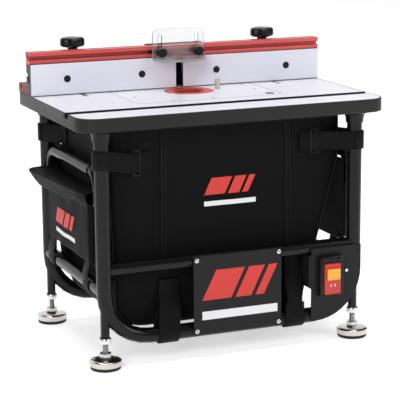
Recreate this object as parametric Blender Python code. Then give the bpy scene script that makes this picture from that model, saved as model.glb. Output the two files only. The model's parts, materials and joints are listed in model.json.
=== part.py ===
"""Portable router table: a laminate top with a split fence, a bit guard and a router lift,
carried by a bent tube frame with levelling feet and a fabric dust bag.

Metres, +Z up. The origin is on the floor, under the middle of the table top. X runs along the
fence, Y runs from the user to the fence, and the user stands on the -Y side.
"""
import math

import bmesh
import bpy
from mathutils import Matrix, Vector

# ---------------------------------------------------------------- driving dimensions
GAP = 0.0003                     # clearance kept between pieces that touch

TOP_HEIGHT = 0.470
TOP_WIDTH = 0.610
TOP_DEPTH = 0.410
TOP_THICKNESS = 0.0252
TOP_CORNER = 0.038
BAND_THICKNESS = 0.003
UNDERSIDE = TOP_HEIGHT - TOP_THICKNESS

TRACK_Y = -0.1228
TRACK_WIDTH = 0.0254
TRACK_DEPTH = 0.0127
MITRE_SLOT_WIDTH = 0.01905
MITRE_SLOT_DEPTH = 0.0095

PLATE_WIDTH = 0.2985
PLATE_DEPTH = 0.2350
PLATE_THICKNESS = 0.0095
PLATE_CORNER = 0.016
PLATE_LEDGE = 0.0095
BIT_Y = 0.046                    # the router bit's axis stands at x = 0

RING_RADIUS = 0.0485
RING_HOLE_RADIUS = 0.0255
RING_THICKNESS = 0.006
PIN_X = 0.0615
PIN_Y = 0.047

TUBE_RADIUS = 0.0143             # 28.6 mm frame tube
LEG_X = 0.254
LEG_Y = 0.165
LOOP_BEND = 0.088                # centre-line radius of the bottom bends
LOOP_Z = 0.0526                  # centre-line height of the bottom run
RAIL_RADIUS = 0.0127             # 25.4 mm rails
CROSS_RAIL_Z = 0.186
SIDE_RAIL_Z = 0.1445
HANDLE_RADIUS = 0.0095
HANDLE_Z = 0.3590
HANDLE_BEND = 0.030
GRIP_RADIUS = 0.0112

FENCE_FRONT = 0.0925
FACE_THICKNESS = 0.012
FACE_TOP = TOP_HEIGHT + 0.0615
FACE_HALF_LENGTH = 0.3045
BIT_GAP = 0.015                  # gap between the two fence faces at rest
RAIL_HALF_LENGTH = 0.306
RAIL_FRONT = 0.097
RAIL_SIZE = 0.0225
WEB_FRONT = FENCE_FRONT + FACE_THICKNESS + GAP
WEB_BACK = WEB_FRONT + 0.0190
FOOT_BACK = 0.178
FOOT_TOP = TOP_HEIGHT + 0.018
FACE_SCREW_Z = 0.5013
FACE_SCREW_X = (0.079, 0.232)
CLAMP_X = 0.203
CLAMP_Y = 0.147
SLOT_FRONT_Y = 0.058
SLOT_BACK_Y = 0.188
SLOT_WIDTH = 0.009

GUARD_X = -0.0040                # the guard hangs a little to the left of the bit
GUARD_KNOB_X = 0.0384
GUARD_KNOB_Z = 0.54305
GUARD_BACK = 0.0918
GUARD_THICKNESS = 0.005
GUARD_BOTTOM = 0.5275
GUARD_TOP = 0.588
GUARD_HALF_WIDTH = 0.0539

POST_X = 0.088
SCREW_X = 0.1285
SCREW_Y = -0.053
CARRIAGE_TOP = 0.426
CARRIAGE_HEIGHT = 0.034
LIFT_BASE_TOP = 0.312

BAG_TOP = 0.436
BAG_SHOULDER = 0.350             # the sides stand upright above this height
BAG_BOTTOM = 0.0600
BAG_HALF_TOP = 0.2345
BAG_RIGHT_BOTTOM = 0.1523        # the right side slopes in towards the floor
BAG_LEFT_LOW = 0.2240            # the left side stands almost upright
BAG_CORNER = 0.055               # and turns under in a wide curve
BAG_HALF_DEPTH = 0.139
CLOTH = 0.0024

PANEL_BACK = -(LEG_Y + TUBE_RADIUS + GAP)    # plane on which the front plates sit
SWITCH_X = 0.1950
SWITCH_Z = 0.1280


# ---------------------------------------------------------------- materials
def make_material(name, colour, roughness, metallic=0.0, transmission=0.0):
    material = bpy.data.materials.new(name)
    material.use_nodes = True
    shader = material.node_tree.nodes["Principled BSDF"]
    shader.inputs["Base Color"].default_value = (*colour, 1.0)
    shader.inputs["Roughness"].default_value = roughness
    shader.inputs["Metallic"].default_value = metallic
    shader.inputs["Transmission Weight"].default_value = transmission
    material.diffuse_color = (*colour, 1.0)
    material.metallic = metallic
    material.roughness = roughness
    return material


def make_palette():
    return {
        "laminate": make_material("laminate", (0.80, 0.80, 0.86), 0.35),
        "band": make_material("band", (0.028, 0.028, 0.030), 0.45),
        "track": make_material("track", (0.02, 0.02, 0.022), 0.35, 0.6),
        "plate": make_material("plate", (0.84, 0.84, 0.88), 0.30),
        "red_ring": make_material("red_ring", (0.72, 0.08, 0.045), 0.35, 0.3),
        "red_anodised": make_material("red_anodised", (0.62, 0.06, 0.06), 0.30, 0.8),
        "white_face": make_material("white_face", (0.78, 0.78, 0.86), 0.35),
        "black_tube": make_material("black_tube", (0.022, 0.022, 0.023), 0.33),
        "black_plastic": make_material("black_plastic", (0.02, 0.02, 0.02), 0.45),
        "steel": make_material("steel", (0.55, 0.54, 0.52), 0.25, 1.0),
        "nickel": make_material("nickel", (0.70, 0.67, 0.62), 0.15, 1.0),
        "cast": make_material("cast", (0.35, 0.35, 0.36), 0.5, 0.9),
        "clear": make_material("clear", (0.92, 0.94, 0.95), 0.05, 0.0, 0.95),
        "pin": make_material("pin", (0.72, 0.68, 0.58), 0.3),
        "nylon": make_material("nylon", (0.014, 0.014, 0.015), 0.85),
        "switch_red": make_material("switch_red", (0.60, 0.04, 0.025), 0.35),
        "switch_yellow": make_material("switch_yellow", (0.90, 0.42, 0.05), 0.35),
    }


# ---------------------------------------------------------------- building tools
def clear_scene():
    for scene_object in list(bpy.data.objects):
        bpy.data.objects.remove(scene_object, do_unlink=True)


def world_place(holder):
    """World position of an unrotated object under its chain of parents."""
    place = Vector((0.0, 0.0, 0.0))
    while holder is not None:
        place += holder.location
        holder = holder.parent
    return place


def finish(name, bm, material, origin=(0.0, 0.0, 0.0), parent=None):
    """Turn a bmesh drawn in world coordinates into an object with its own origin."""
    centre = Vector(origin)
    bmesh.ops.recalc_face_normals(bm, faces=bm.faces[:])
    bmesh.ops.translate(bm, verts=bm.verts[:], vec=-centre)
    mesh = bpy.data.meshes.new(name)
    bm.to_mesh(mesh)
    bm.free()
    mesh.materials.append(material)
    smooth(mesh)
    piece = bpy.data.objects.new(name, mesh)
    bpy.context.scene.collection.objects.link(piece)
    piece.parent = parent
    piece.location = centre - world_place(parent)
    return piece


def smooth(mesh):
    mesh.shade_smooth()
    mesh.set_sharp_from_angle(angle=math.radians(32))


def empty_at(name, place, parent=None):
    """An empty on a moving group's own axis or reference point."""
    holder = bpy.data.objects.new(name, None)
    bpy.context.scene.collection.objects.link(holder)
    holder.parent = parent
    holder.location = Vector(place) - world_place(parent)
    return holder


def add_prism(bm, outline, axis, start, end):
    """Extrude a closed outline along a world axis.

    The outline gives (y, z) for X, (x, z) for Y and (x, y) for Z.
    """
    slot = "XYZ".index(axis)

    def place(point, along):
        values = list(point)
        values.insert(slot, along)
        return values

    first = [bm.verts.new(place(point, start)) for point in outline]
    last = [bm.verts.new(place(point, end)) for point in outline]
    faces = [bm.faces.new(first), bm.faces.new(last[::-1])]
    count = len(outline)
    for index in range(count):
        after = (index + 1) % count
        faces.append(bm.faces.new((first[index], last[index], last[after], first[after])))
    return faces


def prism(outline, axis, start, end):
    bm = bmesh.new()
    add_prism(bm, outline, axis, start, end)
    return bm


def block(low, high):
    """A box between two corners."""
    outline = [(low[0], low[1]), (high[0], low[1]), (high[0], high[1]), (low[0], high[1])]
    return prism(outline, "Z", low[2], high[2])


def soften(bm, width, segments=1, angle=40.0):
    """Bevel every edge sharper than the given angle."""
    bmesh.ops.recalc_face_normals(bm, faces=bm.faces[:])
    limit = math.radians(angle)
    sharp = [edge for edge in bm.edges if edge.is_manifold and edge.calc_face_angle() > limit]
    bmesh.ops.bevel(bm, geom=sharp, offset=width, segments=segments, profile=0.5,
                    affect="EDGES", clamp_overlap=True)
    return bm


def arc(centre, radius, start, end, steps):
    """Points on an arc, in degrees, both ends included."""
    points = []
    for step in range(steps + 1):
        angle = math.radians(start + (end - start) * step / steps)
        points.append((centre[0] + radius * math.cos(angle), centre[1] + radius * math.sin(angle)))
    return points


def round_rectangle(width, depth, radius, steps, centre=(0.0, 0.0)):
    outline = []
    for start, side_x, side_y in ((0, 1, 1), (90, -1, 1), (180, -1, -1), (270, 1, -1)):
        corner = (centre[0] + side_x * (width / 2 - radius),
                  centre[1] + side_y * (depth / 2 - radius))
        outline += arc(corner, radius, start, start + 90, steps)
    return outline


def stadium(half_length, radius, steps, centre):
    """A slot outline with round ends, longer along its second axis."""
    offset = half_length - radius
    outline = []
    for start, side in ((0, 1), (180, -1)):
        middle = (centre[0], centre[1] + side * offset)
        outline += arc(middle, radius, start, start + 180, steps)
    return outline


def hull_outline(circles, steps=20):
    """Convex outline round a set of (x, y, radius) circles."""
    points = []
    for x, y, radius in circles:
        points += [(x + radius * math.cos(math.tau * step / steps),
                    y + radius * math.sin(math.tau * step / steps)) for step in range(steps)]
    points.sort()

    def half(chain_points):
        chain = []
        for point in chain_points:
            while len(chain) > 1 and turn(chain[-2], chain[-1], point) <= 1e-12:
                chain.pop()
            chain.append(point)
        return chain[:-1]

    def turn(a, b, c):
        return (b[0] - a[0]) * (c[1] - a[1]) - (b[1] - a[1]) * (c[0] - a[0])

    return half(points) + half(points[::-1])


def add_lathe(bm, profile, segments, place, axis="Z", shape=None):
    """Turn a closed profile of (radius, height) pairs about an axis through place.

    shape(angle, radius, height) may return a different radius, for lobes and hexagons.
    Points of zero radius become poles, and a profile without poles closes on itself.
    """
    turns = {
        "Z": Matrix.Identity(3),
        "Y": Matrix.Rotation(math.radians(-90), 3, "X"),
        "-Y": Matrix.Rotation(math.radians(90), 3, "X"),
    }
    turned = turns[axis]
    rings = []
    for radius, height in profile:
        if radius == 0.0:
            rings.append([bm.verts.new(Vector(place) + turned @ Vector((0.0, 0.0, height)))])
            continue
        ring = []
        for step in range(segments):
            angle = math.tau * step / segments
            reach = shape(angle, radius, height) if shape else radius
            point = Vector((reach * math.cos(angle), reach * math.sin(angle), height))
            ring.append(bm.verts.new(Vector(place) + turned @ point))
        rings.append(ring)
    pairs = list(zip(rings, rings[1:]))
    if len(rings[0]) > 1:
        pairs.append((rings[-1], rings[0]))
    for lower, upper in pairs:
        for step in range(segments):
            after = (step + 1) % segments
            if len(lower) == 1:
                bm.faces.new((lower[0], upper[after], upper[step]))
            elif len(upper) == 1:
                bm.faces.new((lower[step], lower[after], upper[0]))
            else:
                bm.faces.new((lower[step], lower[after], upper[after], upper[step]))


def lathe(profile, segments, place, axis="Z", shape=None):
    bm = bmesh.new()
    add_lathe(bm, profile, segments, place, axis, shape)
    return bm


def cylinder(radius, low, high, segments, place, axis="Z"):
    profile = [(0.0, low), (radius, low), (radius, high), (0.0, high)]
    return lathe(profile, segments, place, axis)


def hexagon(angle, radius, height):
    """Radius of a hexagon whose flats lie at the given radius."""
    sector = math.radians(60)
    return radius / math.cos((angle % sector) - sector / 2)


def sweep(path, radius, sides):
    """A round tube along a list of points that lie in one upright plane."""
    bm = bmesh.new()
    points = [Vector(point) for point in path]
    across = (points[-1] - points[0]).cross(points[len(points) // 2] - points[0])
    if across.length < 1e-9:
        across = (points[1] - points[0]).orthogonal()
    across.normalize()
    rings = []
    for index, point in enumerate(points):
        before = points[max(index - 1, 0)]
        after = points[min(index + 1, len(points) - 1)]
        ahead = (after - before).normalized()
        sideways = ahead.cross(across).normalized()
        ring = []
        for side in range(sides):
            angle = math.tau * side / sides
            offset = across * math.cos(angle) + sideways * math.sin(angle)
            ring.append(bm.verts.new(point + offset * radius))
        rings.append(ring)
    bm.faces.new(rings[0][::-1])
    bm.faces.new(rings[-1])
    for first, last in zip(rings, rings[1:]):
        for side in range(sides):
            after = (side + 1) % sides
            bm.faces.new((first[side], first[after], last[after], last[side]))
    return bm


def combine(piece, bm, operation):
    """Apply an exact Boolean between an object and a shape drawn in world coordinates."""
    tool = finish("tool", bm, piece.data.materials[0])
    bpy.context.view_layer.update()
    step = piece.modifiers.new("shape", "BOOLEAN")
    step.operation = operation
    step.solver = "EXACT"
    step.object = tool
    bpy.context.view_layer.update()
    graph = bpy.context.evaluated_depsgraph_get()
    shaped = bpy.data.meshes.new_from_object(piece.evaluated_get(graph))
    piece.modifiers.remove(step)
    old_mesh = piece.data
    shaped.name = old_mesh.name
    piece.data = shaped
    bpy.data.meshes.remove(old_mesh)
    bpy.data.objects.remove(tool, do_unlink=True)
    smooth(piece.data)
    return piece


def cut(piece, bm):
    return combine(piece, bm, "DIFFERENCE")


def join(piece, bm):
    return combine(piece, bm, "UNION")


def t_slot(at, along, inward, mouth, throat, width, depth):
    """Outline points of a T-slot entered at a point of an edge that runs along."""
    def point(sideways, deep):
        return (at[0] + along[0] * sideways + inward[0] * deep,
                at[1] + along[1] * sideways + inward[1] * deep)
    return [point(-mouth / 2, 0), point(-mouth / 2, throat), point(-width / 2, throat),
            point(-width / 2, depth), point(width / 2, depth), point(width / 2, throat),
            point(mouth / 2, throat), point(mouth / 2, 0)]


# ---------------------------------------------------------------- table top
def make_top(palette):
    inner_width = TOP_WIDTH - 2 * (BAND_THICKNESS + GAP)
    inner_depth = TOP_DEPTH - 2 * (BAND_THICKNESS + GAP)
    outline = round_rectangle(inner_width, inner_depth, TOP_CORNER - BAND_THICKNESS - GAP, 5)
    top = finish("table_top", prism(outline, "Z", UNDERSIDE, TOP_HEIGHT), palette["laminate"])
    recess = round_rectangle(PLATE_WIDTH + 2 * GAP, PLATE_DEPTH + 2 * GAP, PLATE_CORNER, 4,
                             (0.0, BIT_Y))
    well = round_rectangle(PLATE_WIDTH - 2 * PLATE_LEDGE, PLATE_DEPTH - 2 * PLATE_LEDGE,
                           PLATE_CORNER, 4, (0.0, BIT_Y))
    above = TOP_HEIGHT + 0.01
    below = UNDERSIDE - 0.01
    cut(top, prism(recess, "Z", TOP_HEIGHT - PLATE_THICKNESS - GAP, above))
    cut(top, prism(well, "Z", below, above))
    groove = TRACK_WIDTH / 2 + GAP
    cut(top, block((-TOP_WIDTH, TRACK_Y - groove, TOP_HEIGHT - TRACK_DEPTH - GAP),
                   (TOP_WIDTH, TRACK_Y + groove, above)))
    half = (SLOT_BACK_Y - SLOT_FRONT_Y) / 2
    for side in (-1, 1):
        slot = stadium(half, SLOT_WIDTH / 2, 4, (side * CLAMP_X, SLOT_FRONT_Y + half))
        cut(top, prism(slot, "Z", below, above))

    bm = prism(round_rectangle(TOP_WIDTH, TOP_DEPTH, TOP_CORNER, 5), "Z", UNDERSIDE, TOP_HEIGHT)
    soften(bm, 0.0012)
    band = finish("edge_band", bm, palette["band"])
    hollow = round_rectangle(TOP_WIDTH - 2 * BAND_THICKNESS, TOP_DEPTH - 2 * BAND_THICKNESS,
                             TOP_CORNER - BAND_THICKNESS, 5)
    cut(band, prism(hollow, "Z", below, above))
    cut(band, block((-TOP_WIDTH, TRACK_Y - groove, TOP_HEIGHT - TRACK_DEPTH - GAP),
                    (TOP_WIDTH, TRACK_Y + groove, above)))

    half_track = TRACK_WIDTH / 2
    half_slot = MITRE_SLOT_WIDTH / 2
    floor = TOP_HEIGHT - TRACK_DEPTH
    slot_floor = TOP_HEIGHT - MITRE_SLOT_DEPTH
    channel = [(TRACK_Y - half_track, floor), (TRACK_Y + half_track, floor),
               (TRACK_Y + half_track, TOP_HEIGHT), (TRACK_Y + half_slot, TOP_HEIGHT),
               (TRACK_Y + half_slot, slot_floor), (TRACK_Y - half_slot, slot_floor),
               (TRACK_Y - half_slot, TOP_HEIGHT), (TRACK_Y - half_track, TOP_HEIGHT)]
    length = TOP_WIDTH / 2 - 0.0005
    finish("mitre_track", prism(channel, "X", -length, length), palette["track"])


def make_insert(palette):
    outline = round_rectangle(PLATE_WIDTH, PLATE_DEPTH, PLATE_CORNER, 4, (0.0, BIT_Y))
    bottom = TOP_HEIGHT - PLATE_THICKNESS
    bm = soften(prism(outline, "Z", bottom, TOP_HEIGHT), 0.0005)
    plate = finish("insert_plate", bm, palette["plate"])
    seat = RING_RADIUS - 0.004
    centre = (0.0, BIT_Y, 0.0)
    cut(plate, cylinder(RING_RADIUS + 2 * GAP, TOP_HEIGHT - RING_THICKNESS - GAP,
                        TOP_HEIGHT + 0.01, 36, centre))
    cut(plate, cylinder(seat, bottom - 0.01, TOP_HEIGHT, 36, centre))
    for x, y, radius in ((SCREW_X, SCREW_Y, 0.0068), (PIN_X, PIN_Y, 0.0034)):
        cut(plate, cylinder(radius, bottom - 0.01, TOP_HEIGHT + 0.01, 12, (x, y, 0.0)))

    low = TOP_HEIGHT - RING_THICKNESS
    step = RING_HOLE_RADIUS + 0.004
    ring = [(RING_HOLE_RADIUS, low), (RING_RADIUS, low), (RING_RADIUS, TOP_HEIGHT - 0.0004),
            (RING_RADIUS - 0.0004, TOP_HEIGHT), (step, TOP_HEIGHT), (step, TOP_HEIGHT - 0.0022),
            (RING_HOLE_RADIUS, TOP_HEIGHT - 0.0022)]
    finish("insert_ring", lathe(ring, 36, centre), palette["red_ring"],
           (0.0, BIT_Y, TOP_HEIGHT))

    pin = [(0.0, bottom), (0.0031, bottom), (0.0031, TOP_HEIGHT + GAP),
           (0.0056, TOP_HEIGHT + GAP), (0.0056, TOP_HEIGHT + 0.0197),
           (0.0048, TOP_HEIGHT + 0.0207), (0.0, TOP_HEIGHT + 0.0207)]
    finish("starter_pin", lathe(pin, 12, (PIN_X, PIN_Y, 0.0)), palette["pin"],
           (PIN_X, PIN_Y, TOP_HEIGHT))


# ---------------------------------------------------------------- router lift
def make_lift(palette):
    under_plate = TOP_HEIGHT - PLATE_THICKNESS - GAP
    base_height = 0.012
    base_low = LIFT_BASE_TOP - base_height
    for name, side in (("left", -1), ("right", 1)):
        post = cylinder(0.008, LIFT_BASE_TOP + GAP, under_plate, 12, (side * POST_X, BIT_Y, 0.0))
        finish("lift_post_" + name, post, palette["steel"], (side * POST_X, BIT_Y, base_low))

    neck = TOP_HEIGHT - 0.0045
    screw = [(0.0, LIFT_BASE_TOP + GAP), (0.0058, LIFT_BASE_TOP + GAP), (0.0058, neck - 0.001),
             (0.0050, neck), (0.0028, neck), (0.0028, neck - 0.010), (0.0, neck - 0.010)]
    finish("lift_screw", lathe(screw, 12, (SCREW_X, SCREW_Y, 0.0)), palette["steel"],
           (SCREW_X, SCREW_Y, neck))

    circles = [(0.0, BIT_Y, 0.060), (-POST_X, BIT_Y, 0.016), (POST_X, BIT_Y, 0.016),
               (SCREW_X, SCREW_Y, 0.010)]
    holes = ((-POST_X, BIT_Y, 0.0084), (POST_X, BIT_Y, 0.0084), (SCREW_X, SCREW_Y, 0.0062),
             (0.0, BIT_Y, 0.0445))
    low = CARRIAGE_TOP - CARRIAGE_HEIGHT
    bm = soften(prism(hull_outline(circles), "Z", low, CARRIAGE_TOP), 0.0015)
    carriage = finish("lift_carriage", bm, palette["cast"], (0.0, BIT_Y, CARRIAGE_TOP))
    for x, y, radius in holes:
        segments = 28 if radius > 0.02 else 12
        cut(carriage, cylinder(radius, low - 0.01, CARRIAGE_TOP + 0.01, segments, (x, y, 0.0)))

    bm = soften(prism(hull_outline(circles), "Z", base_low, LIFT_BASE_TOP), 0.001)
    base = finish("lift_base", bm, palette["cast"], (0.0, BIT_Y, base_low))
    cut(base, cylinder(0.052, base_low - 0.01, LIFT_BASE_TOP + 0.01, 28, (0.0, BIT_Y, 0.0)))


# ---------------------------------------------------------------- fence
def make_fence(palette):
    fence = empty_at("fence", (0.0, CLAMP_Y, FOOT_TOP))
    bottom = TOP_HEIGHT + 2 * GAP
    web_top = FACE_TOP - GAP
    slot = dict(mouth=0.0072, throat=0.0027, width=0.0124, depth=0.0078)
    outline = [(WEB_FRONT, bottom)]
    outline += t_slot((WEB_FRONT, FACE_SCREW_Z), (0, 1), (1, 0), **slot)
    outline += [(WEB_FRONT, web_top), (WEB_BACK, web_top)]
    outline += t_slot((WEB_BACK, FACE_SCREW_Z + 0.008), (0, -1), (-1, 0), **slot)
    outline += [(WEB_BACK, FOOT_TOP)]
    outline += t_slot((FOOT_BACK - 0.016, FOOT_TOP), (1, 0), (0, -1), **slot)
    outline += [(FOOT_BACK, FOOT_TOP), (FOOT_BACK, bottom)]
    body = finish("fence_body", prism(outline, "X", -FACE_HALF_LENGTH, FACE_HALF_LENGTH),
                  palette["red_anodised"], (0.0, CLAMP_Y, FOOT_TOP), fence)
    window = 0.042
    cut(body, block((-window, WEB_FRONT - 0.01, bottom - 0.01),
                    (window, WEB_BACK, FACE_TOP - 0.0055)))
    for side in (-1, 1):
        cut(body, cylinder(0.0045, TOP_HEIGHT - 0.01, FOOT_TOP + 0.01, 12,
                           (side * CLAMP_X, CLAMP_Y, 0.0)))

    low = FACE_TOP + GAP
    high = low + RAIL_SIZE
    back = RAIL_FRONT + RAIL_SIZE
    middle = (RAIL_FRONT + back) / 2
    outline = [(RAIL_FRONT, low)]
    outline += t_slot((RAIL_FRONT, GUARD_KNOB_Z), (0, 1), (1, 0), **slot)
    outline += [(RAIL_FRONT, high)]
    outline += t_slot((middle + 0.0035, high), (1, 0), (0, -1), 0.005, 0.0020, 0.0080, 0.0050)
    outline += [(back, high), (back, low)]
    finish("fence_rail", prism(outline, "X", -RAIL_HALF_LENGTH, RAIL_HALF_LENGTH),
           palette["red_anodised"], (0.0, middle, low), fence)

    for name, side in (("left", -1), ("right", 1)):
        make_fence_face(palette, name, side, fence)
        make_fence_clamp(palette, name, side, fence)
    make_dust_port(palette, fence)
    make_guard(palette, fence)


def make_fence_face(palette, name, side, fence):
    """A white sliding face and the two screws that hold it to the slot behind."""
    inner = side * BIT_GAP / 2
    outer = side * FACE_HALF_LENGTH
    holder = empty_at("face_" + name, (inner, FENCE_FRONT, TOP_HEIGHT), fence)
    bm = block((min(inner, outer), FENCE_FRONT, TOP_HEIGHT + 2 * GAP),
               (max(inner, outer), FENCE_FRONT + FACE_THICKNESS, FACE_TOP))
    soften(bm, 0.0006)
    face = finish("fence_face_" + name, bm, palette["white_face"],
                  (inner, FENCE_FRONT, TOP_HEIGHT), holder)
    head = [(0.0, -0.0003), (0.0022, -0.0003), (0.0022, 0.0012), (0.0, 0.0012)]
    for number, x in enumerate(FACE_SCREW_X):
        centre = (side * x, FENCE_FRONT, FACE_SCREW_Z)
        hole = [(0.0, -0.01), (0.0070, -0.01), (0.0070, 0.0034), (0.0036, 0.0064),
                (0.0036, 0.02), (0.0, 0.02)]
        cut(face, lathe(hole, 12, centre, "Y"))
        screw = [(0.0, 0.0006), (0.0024, 0.0006), (0.0024, -0.0004), (0.0058, -0.0004),
                 (0.0067, 0.0004), (0.0067, 0.0030), (0.0032, 0.0061), (0.0032, 0.0157),
                 (0.0054, 0.0157), (0.0054, 0.0192), (0.0, 0.0192)]
        label = "outer" if number else "inner"
        finish("face_screw_" + name + "_" + label, lathe(screw, 12, centre, "Y"),
               palette["black_plastic"], centre, holder)


def knob_lobes(angle, radius, height):
    """Four rounded lobes on the hand grip, none on the hub below it."""
    if radius < 0.012:
        return radius
    return radius * (0.76 + 0.24 * abs(math.cos(2 * angle)) ** 0.8)


def make_fence_clamp(palette, name, side, fence):
    """A tall hold-down knob and the bolt that runs through the table's slot."""
    x = side * CLAMP_X
    head_low = 0.5558
    head_high = 0.5738
    hub_low = FOOT_TOP + GAP
    bore = 0.0044
    profile = [(0.0, 0.5476), (bore, 0.5476), (bore, hub_low), (0.0098, hub_low),
               (0.0098, head_low), (0.0205, head_low), (0.0245, head_low + 0.003),
               (0.0245, head_high - 0.004), (0.0220, head_high - 0.001),
               (0.0200, head_high), (0.0, head_high)]
    finish("fence_knob_" + name, lathe(profile, 24, (x, CLAMP_Y, 0.0), "Z", knob_lobes),
           palette["black_plastic"], (x, CLAMP_Y, head_low), fence)
    under = UNDERSIDE - GAP
    bolt = [(0.0, under - 0.0048), (0.0095, under - 0.0048), (0.0110, under - 0.002),
            (0.0110, under), (0.0040, under), (0.0040, 0.5470), (0.0, 0.5470)]
    finish("fence_bolt_" + name, lathe(bolt, 12, (x, CLAMP_Y, 0.0)), palette["steel"],
           (x, CLAMP_Y, under), fence)


def make_dust_port(palette, fence):
    """A hood behind the bit with a round outlet to the rear."""
    front = WEB_BACK + GAP
    flange_back = front + 0.0059
    flange_half = 0.060
    flange_top = 0.5560
    back = 0.176
    low = FOOT_TOP + GAP
    high = 0.5400
    half = 0.046
    wall = 0.0025
    outlet_z = 0.5145
    outlet_end = 0.2045
    outlet_radius = 0.0250
    flange = soften(block((-flange_half, front, low), (flange_half, flange_back, flange_top)),
                    0.0015)
    port = finish("dust_port", flange, palette["black_plastic"], (0.0, back, outlet_z), fence)
    join(port, soften(block((-half, front + 0.001, low), (half, back, high)), 0.002))
    join(port, cylinder(outlet_radius, back - 0.001, outlet_end, 28, (0.0, 0.0, outlet_z), "Y"))
    cut(port, block((-half + wall, front - 0.01, low + wall),
                    (half - wall, back - wall, high - wall)))
    cut(port, cylinder(outlet_radius - wall, back - 0.01, outlet_end + 0.01, 28,
                       (0.0, 0.0, outlet_z), "Y"))


def make_guard(palette, fence):
    """The clear guard hangs from two knobs whose studs run in the rail's front slot."""
    bar_low = GUARD_KNOB_Z - 0.0058
    bar_high = GUARD_KNOB_Z + 0.0058
    neck_low = GUARD_KNOB_Z + 0.0037
    bar_front = RAIL_FRONT + 0.0030
    bar_back = RAIL_FRONT + 0.0075
    bar_outline = [(-0.0620, bar_low), (-0.0260, bar_low), (-0.0260, neck_low),
                   (0.0240, neck_low), (0.0240, bar_low), (0.0480, bar_low),
                   (0.0480, bar_high), (-0.0620, bar_high)]
    bar = finish("guard_bar", prism(bar_outline, "Y", bar_front, bar_back),
                 palette["black_plastic"], (GUARD_X, bar_front, GUARD_KNOB_Z), fence)
    holder = empty_at("guard_slide", (GUARD_X, GUARD_BACK, GUARD_KNOB_Z), fence)
    front = GUARD_BACK - GUARD_THICKNESS
    corner = 0.012
    middle = (GUARD_BOTTOM + GUARD_TOP) / 2
    left = GUARD_X - GUARD_HALF_WIDTH
    right = GUARD_X + GUARD_HALF_WIDTH
    outline = [(left, GUARD_BOTTOM), (right, GUARD_BOTTOM)]
    top_z = GUARD_TOP - corner
    outline += arc((right - corner, top_z), corner, 0, 90, 5)
    outline += arc((left + corner, top_z), corner, 90, 180, 5)
    guard = finish("guard", prism(outline, "Y", front, GUARD_BACK), palette["clear"],
                   (GUARD_X, GUARD_BACK, GUARD_KNOB_Z), holder)
    shelf = [(right, GUARD_BACK - 0.001)]
    shelf += arc((GUARD_X, front), GUARD_HALF_WIDTH, 0, -180, 20)
    shelf += [(left, GUARD_BACK - 0.001)]
    join(guard, prism(shelf, "Z", GUARD_BOTTOM, GUARD_BOTTOM + GUARD_THICKNESS))
    slot_low = GUARD_KNOB_Z - 0.0040
    slot_high = 0.5765
    slot_middle = (slot_low + slot_high) / 2
    for name, side in (("left", -1), ("right", 1)):
        x = GUARD_X + side * GUARD_KNOB_X
        slot = stadium((slot_high - slot_low) / 2, 0.0036, 5, (x, slot_middle))
        cut(guard, prism(slot, "Y", front - 0.01, GUARD_BACK + 0.01))
        centre = (x, GUARD_BACK, GUARD_KNOB_Z)
        cut(bar, cylinder(0.0034, -0.01, 0.03, 12, centre, "Y"))
        stud_end = bar_back - GUARD_BACK - 0.0005
        face = -GUARD_THICKNESS - GAP
        profile = [(0.0, face - 0.0165), (0.0075, face - 0.0165), (0.0090, face - 0.0150),
                   (0.0095, face - 0.0075), (0.0095, face - 0.0015), (0.0085, face),
                   (0.0029, face), (0.0029, stud_end), (0.0, stud_end)]
        finish("guard_knob_" + name, lathe(profile, 16, centre, "Y"), palette["black_plastic"],
               centre, fence)


# ---------------------------------------------------------------- frame
def loop_path(y):
    """Centre line of a U-shaped leg loop, from one leg top to the other."""
    top = UNDERSIDE - 0.0008
    side = LEG_X - LOOP_BEND
    height = LOOP_Z + LOOP_BEND
    path = [(-LEG_X, y, top)]
    path += [(x, y, z) for x, z in arc((-side, height), LOOP_BEND, 180, 270, 7)]
    path += [(x, y, z) for x, z in arc((side, height), LOOP_BEND, 270, 360, 7)]
    path += [(LEG_X, y, top)]
    return path


def make_frame(palette):
    stub_low = 0.048
    for name, y in (("front", -LEG_Y), ("rear", LEG_Y)):
        frame = finish("frame_" + name, sweep(loop_path(y), TUBE_RADIUS, 16),
                       palette["black_tube"], (0.0, y, LOOP_Z))
        for side in (-1, 1):
            stub = [(0.0, stub_low), (0.0100, stub_low), (0.0100, stub_low + 0.0100),
                    (0.0085, stub_low + 0.0108), (0.0085, 0.1250), (0.0, 0.1250)]
            place = (side * LEG_X, y, 0.0)
            join(frame, lathe(stub, 12, place))
            cut(frame, cylinder(0.0062, stub_low - 0.01, 0.096, 12, place))
        rail = finish("cross_rail_" + name,
                      sweep([(-LEG_X, y, CROSS_RAIL_Z), (LEG_X, y, CROSS_RAIL_Z)],
                            RAIL_RADIUS, 16),
                      palette["black_tube"], (0.0, y, CROSS_RAIL_Z))
        for side in (-1, 1):
            cut(rail, cylinder(TUBE_RADIUS + 2 * GAP, 0.14, 0.24, 20, (side * LEG_X, y, 0.0)))

    for name, side in (("left", -1), ("right", 1)):
        x = side * LEG_X
        rail = finish("side_rail_" + name,
                      sweep([(x, -LEG_Y, SIDE_RAIL_Z), (x, LEG_Y, SIDE_RAIL_Z)],
                            RAIL_RADIUS, 16),
                      palette["black_tube"], (x, 0.0, SIDE_RAIL_Z))
        for y in (-LEG_Y, LEG_Y):
            cut(rail, cylinder(TUBE_RADIUS + 2 * GAP, 0.12, 0.17, 20, (x, y, 0.0)))
        make_handle(palette, name, x)
    make_brackets(palette)


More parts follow.
